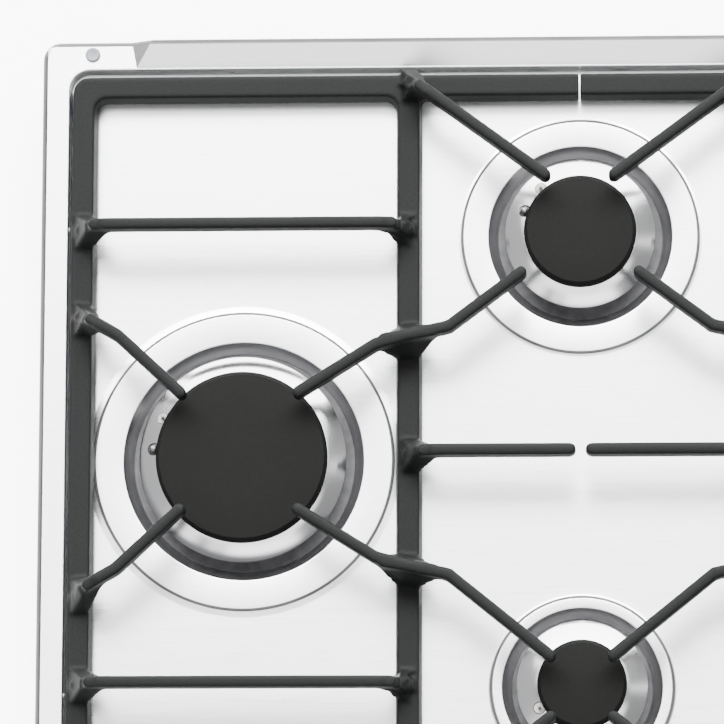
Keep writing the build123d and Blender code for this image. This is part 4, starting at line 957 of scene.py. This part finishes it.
# ---- Floor, lights and camera ----
# The hob stands on a pale floor that glows, under a large and a narrow soft light from above and
# behind. Its steel mirrors a room of white panels, dark screens and the dark hood round the lens.
floor_size = 12
floor_glow = 5
deselect()
bpy.ops.mesh.primitive_plane_add(size=floor_size)
floor = bpy.context.object
floor.name = "pale_floor"
pale = new_finish("pale_floor", Base_Color=(0.9, 0.9, 0.9), Roughness=0.8)
pale_shader = pale.node_tree.nodes["Principled BSDF"]
pale_shader.inputs["Emission Color"].default_value = (1, 1, 1, 1)
pale_shader.inputs["Emission Strength"].default_value = floor_glow
floor.data.materials.append(pale)

world = bpy.data.worlds.new("studio")
world.use_nodes = True
sky = world.node_tree
way = sky.nodes.new("ShaderNodeTexCoord")
around = sky.nodes.new("ShaderNodeTexGradient")
around.gradient_type = "RADIAL"
# Round the room, by azimuth in degrees and brightness: white panels stand in front and behind,
# with dark screens and slits between them.
screens = [
    (0, 0.4), (6, 2.5), (10, 0.4), (32, 0.4), (34, 0.04), (40, 0.04), (43, 9), (125, 9),
    (140, 0.6), (205, 0.6), (228, 3), (234, 0.08), (239, 0.08), (241, 2.5), (246, 2.5),
    (248, 0.4), (251, 0.4), (254, 3.4), (306, 3.4), (308, 0.35), (348, 0.35), (355, 0.3),
]
# Overhead, by a direction's Y and brightness, from front to rear: a bright panel, the dark lens
# hood, a brighter panel and the brightest one behind.
canopy = [
    (-0.5, 2.4), (-0.25, 2.4), (-0.15, 0.25), (0.06, 0.25), (0.11, 0.7), (0.16, 2.4), (0.24, 5),
    (0.38, 4), (0.43, 34), (0.5, 34),
]
canopy_half = 0.5
# The grey of the low walls and the ranges over which one part of the room gives way to the next.
dim_wall = (0.25, 0.25, 0.26, 1)
wall_start, wall_end = 0.25, 0.38
canopy_start, canopy_end = 0.66, 0.76
# All the room's light is a touch bluer than grey.
blue_cast = 1.01


def brightness_ramp(stops):
    """A ramp from 0 to 1 of greys with a blue cast, through (place, brightness) stops."""
    ramp = sky.nodes.new("ShaderNodeValToRGB")
    elements = ramp.color_ramp.elements
    elements.remove(elements[1])
    for place, bright in stops:
        elements.new(place).color = (bright, bright, bright * blue_cast, 1)
    elements.remove(elements[0])
    return ramp


def mixed(low, high, fac):
    """The sky's colour from low to high, by a factor; each is a colour or an output."""
    mix = sky.nodes.new("ShaderNodeMix")
    mix.data_type = "RGBA"
    for name, colour in (("A", low), ("B", high)):
        socket = next(i for i in mix.inputs if i.name == name and i.type == "RGBA")
        if isinstance(colour, tuple):
            socket.default_value = colour
        else:
            sky.links.new(colour, socket)
    sky.links.new(fac, mix.inputs["Factor"])
    return next(o for o in mix.outputs if o.type == "RGBA")


def soft_step(value, start, end):
    """A factor that rises smoothly from 0 at start to 1 at end."""
    rise = sky.nodes.new("ShaderNodeMapRange")
    rise.interpolation_type = "SMOOTHSTEP"
    rise.inputs["From Min"].default_value = start
    rise.inputs["From Max"].default_value = end
    sky.links.new(value, rise.inputs["Value"])
    return rise.outputs["Result"]


panels = brightness_ramp(
    [(((azimuth + 180) % 360) / 360, bright) for azimuth, bright in screens]
)
overhead = brightness_ramp([(y + canopy_half, bright) for y, bright in canopy])
split_way = sky.nodes.new("ShaderNodeSeparateXYZ")
depth = sky.nodes.new("ShaderNodeMapRange")
depth.inputs["From Min"].default_value = -canopy_half
depth.inputs["From Max"].default_value = canopy_half
sky.links.new(way.outputs["Generated"], around.inputs["Vector"])
sky.links.new(around.outputs["Fac"], panels.inputs["Fac"])
sky.links.new(way.outputs["Generated"], split_way.inputs["Vector"])
sky.links.new(split_way.outputs["Y"], depth.inputs["Value"])
sky.links.new(depth.outputs["Result"], overhead.inputs["Fac"])
# Low down the room is dim, but for the panel behind, which reaches further down.
reach = sky.nodes.new("ShaderNodeVectorMath")
reach.operation = "DOT_PRODUCT"
reach.inputs[1].default_value = (0, 0.3, 1)
sky.links.new(way.outputs["Generated"], reach.inputs[0])
wall_part = soft_step(reach.outputs["Value"], wall_start, wall_end)
canopy_part = soft_step(split_way.outputs["Z"], canopy_start, canopy_end)
walls = mixed(dim_wall, panels.outputs["Color"], wall_part)
whole = mixed(walls, overhead.outputs["Color"], canopy_part)
sky.links.new(whole, sky.nodes["Background"].inputs["Color"])
bpy.context.scene.world = world


def softbox(name, place, aim, size, power):
    """Adds a rectangular soft light at a place, aimed at another, of this many watts."""
    lamp = bpy.data.lights.new(name, "AREA")
    lamp.shape = "RECTANGLE"
    lamp.size, lamp.size_y = size
    lamp.energy = power
    light = bpy.data.objects.new(name, lamp)
    bpy.context.scene.collection.objects.link(light)
    light.location = place
    light.rotation_euler = (Vector(aim) - Vector(place)).to_track_quat("-Z", "Y").to_euler()


aim = (-0.15, 0.1, 0)
softbox("overhead", (-0.3, 1.25, 1.6), aim, size=(3, 1.5), power=12)
softbox("rear_strip", (-0.15, 0.6, 0.85), aim, size=(1.8, 0.35), power=4)

# The camera hangs three metres up, in front of the hob, and looks down at its rear left.
film_width = 36
camera_place = (-23.9, -468.9, 3066.4)
camera_turns = (9.903, 2.768, 0.157)
focal_length = 7.251 * film_width
lens = bpy.data.cameras.new("camera")
lens.sensor_width = film_width
lens.lens = focal_length
lens.clip_start, lens.clip_end = 0.05, 50
camera = bpy.data.objects.new("camera", lens)
bpy.context.scene.collection.objects.link(camera)
camera.location = [along * mm for along in camera_place]
camera.rotation_euler = [radians(turn) for turn in camera_turns]
bpy.context.scene.camera = camera
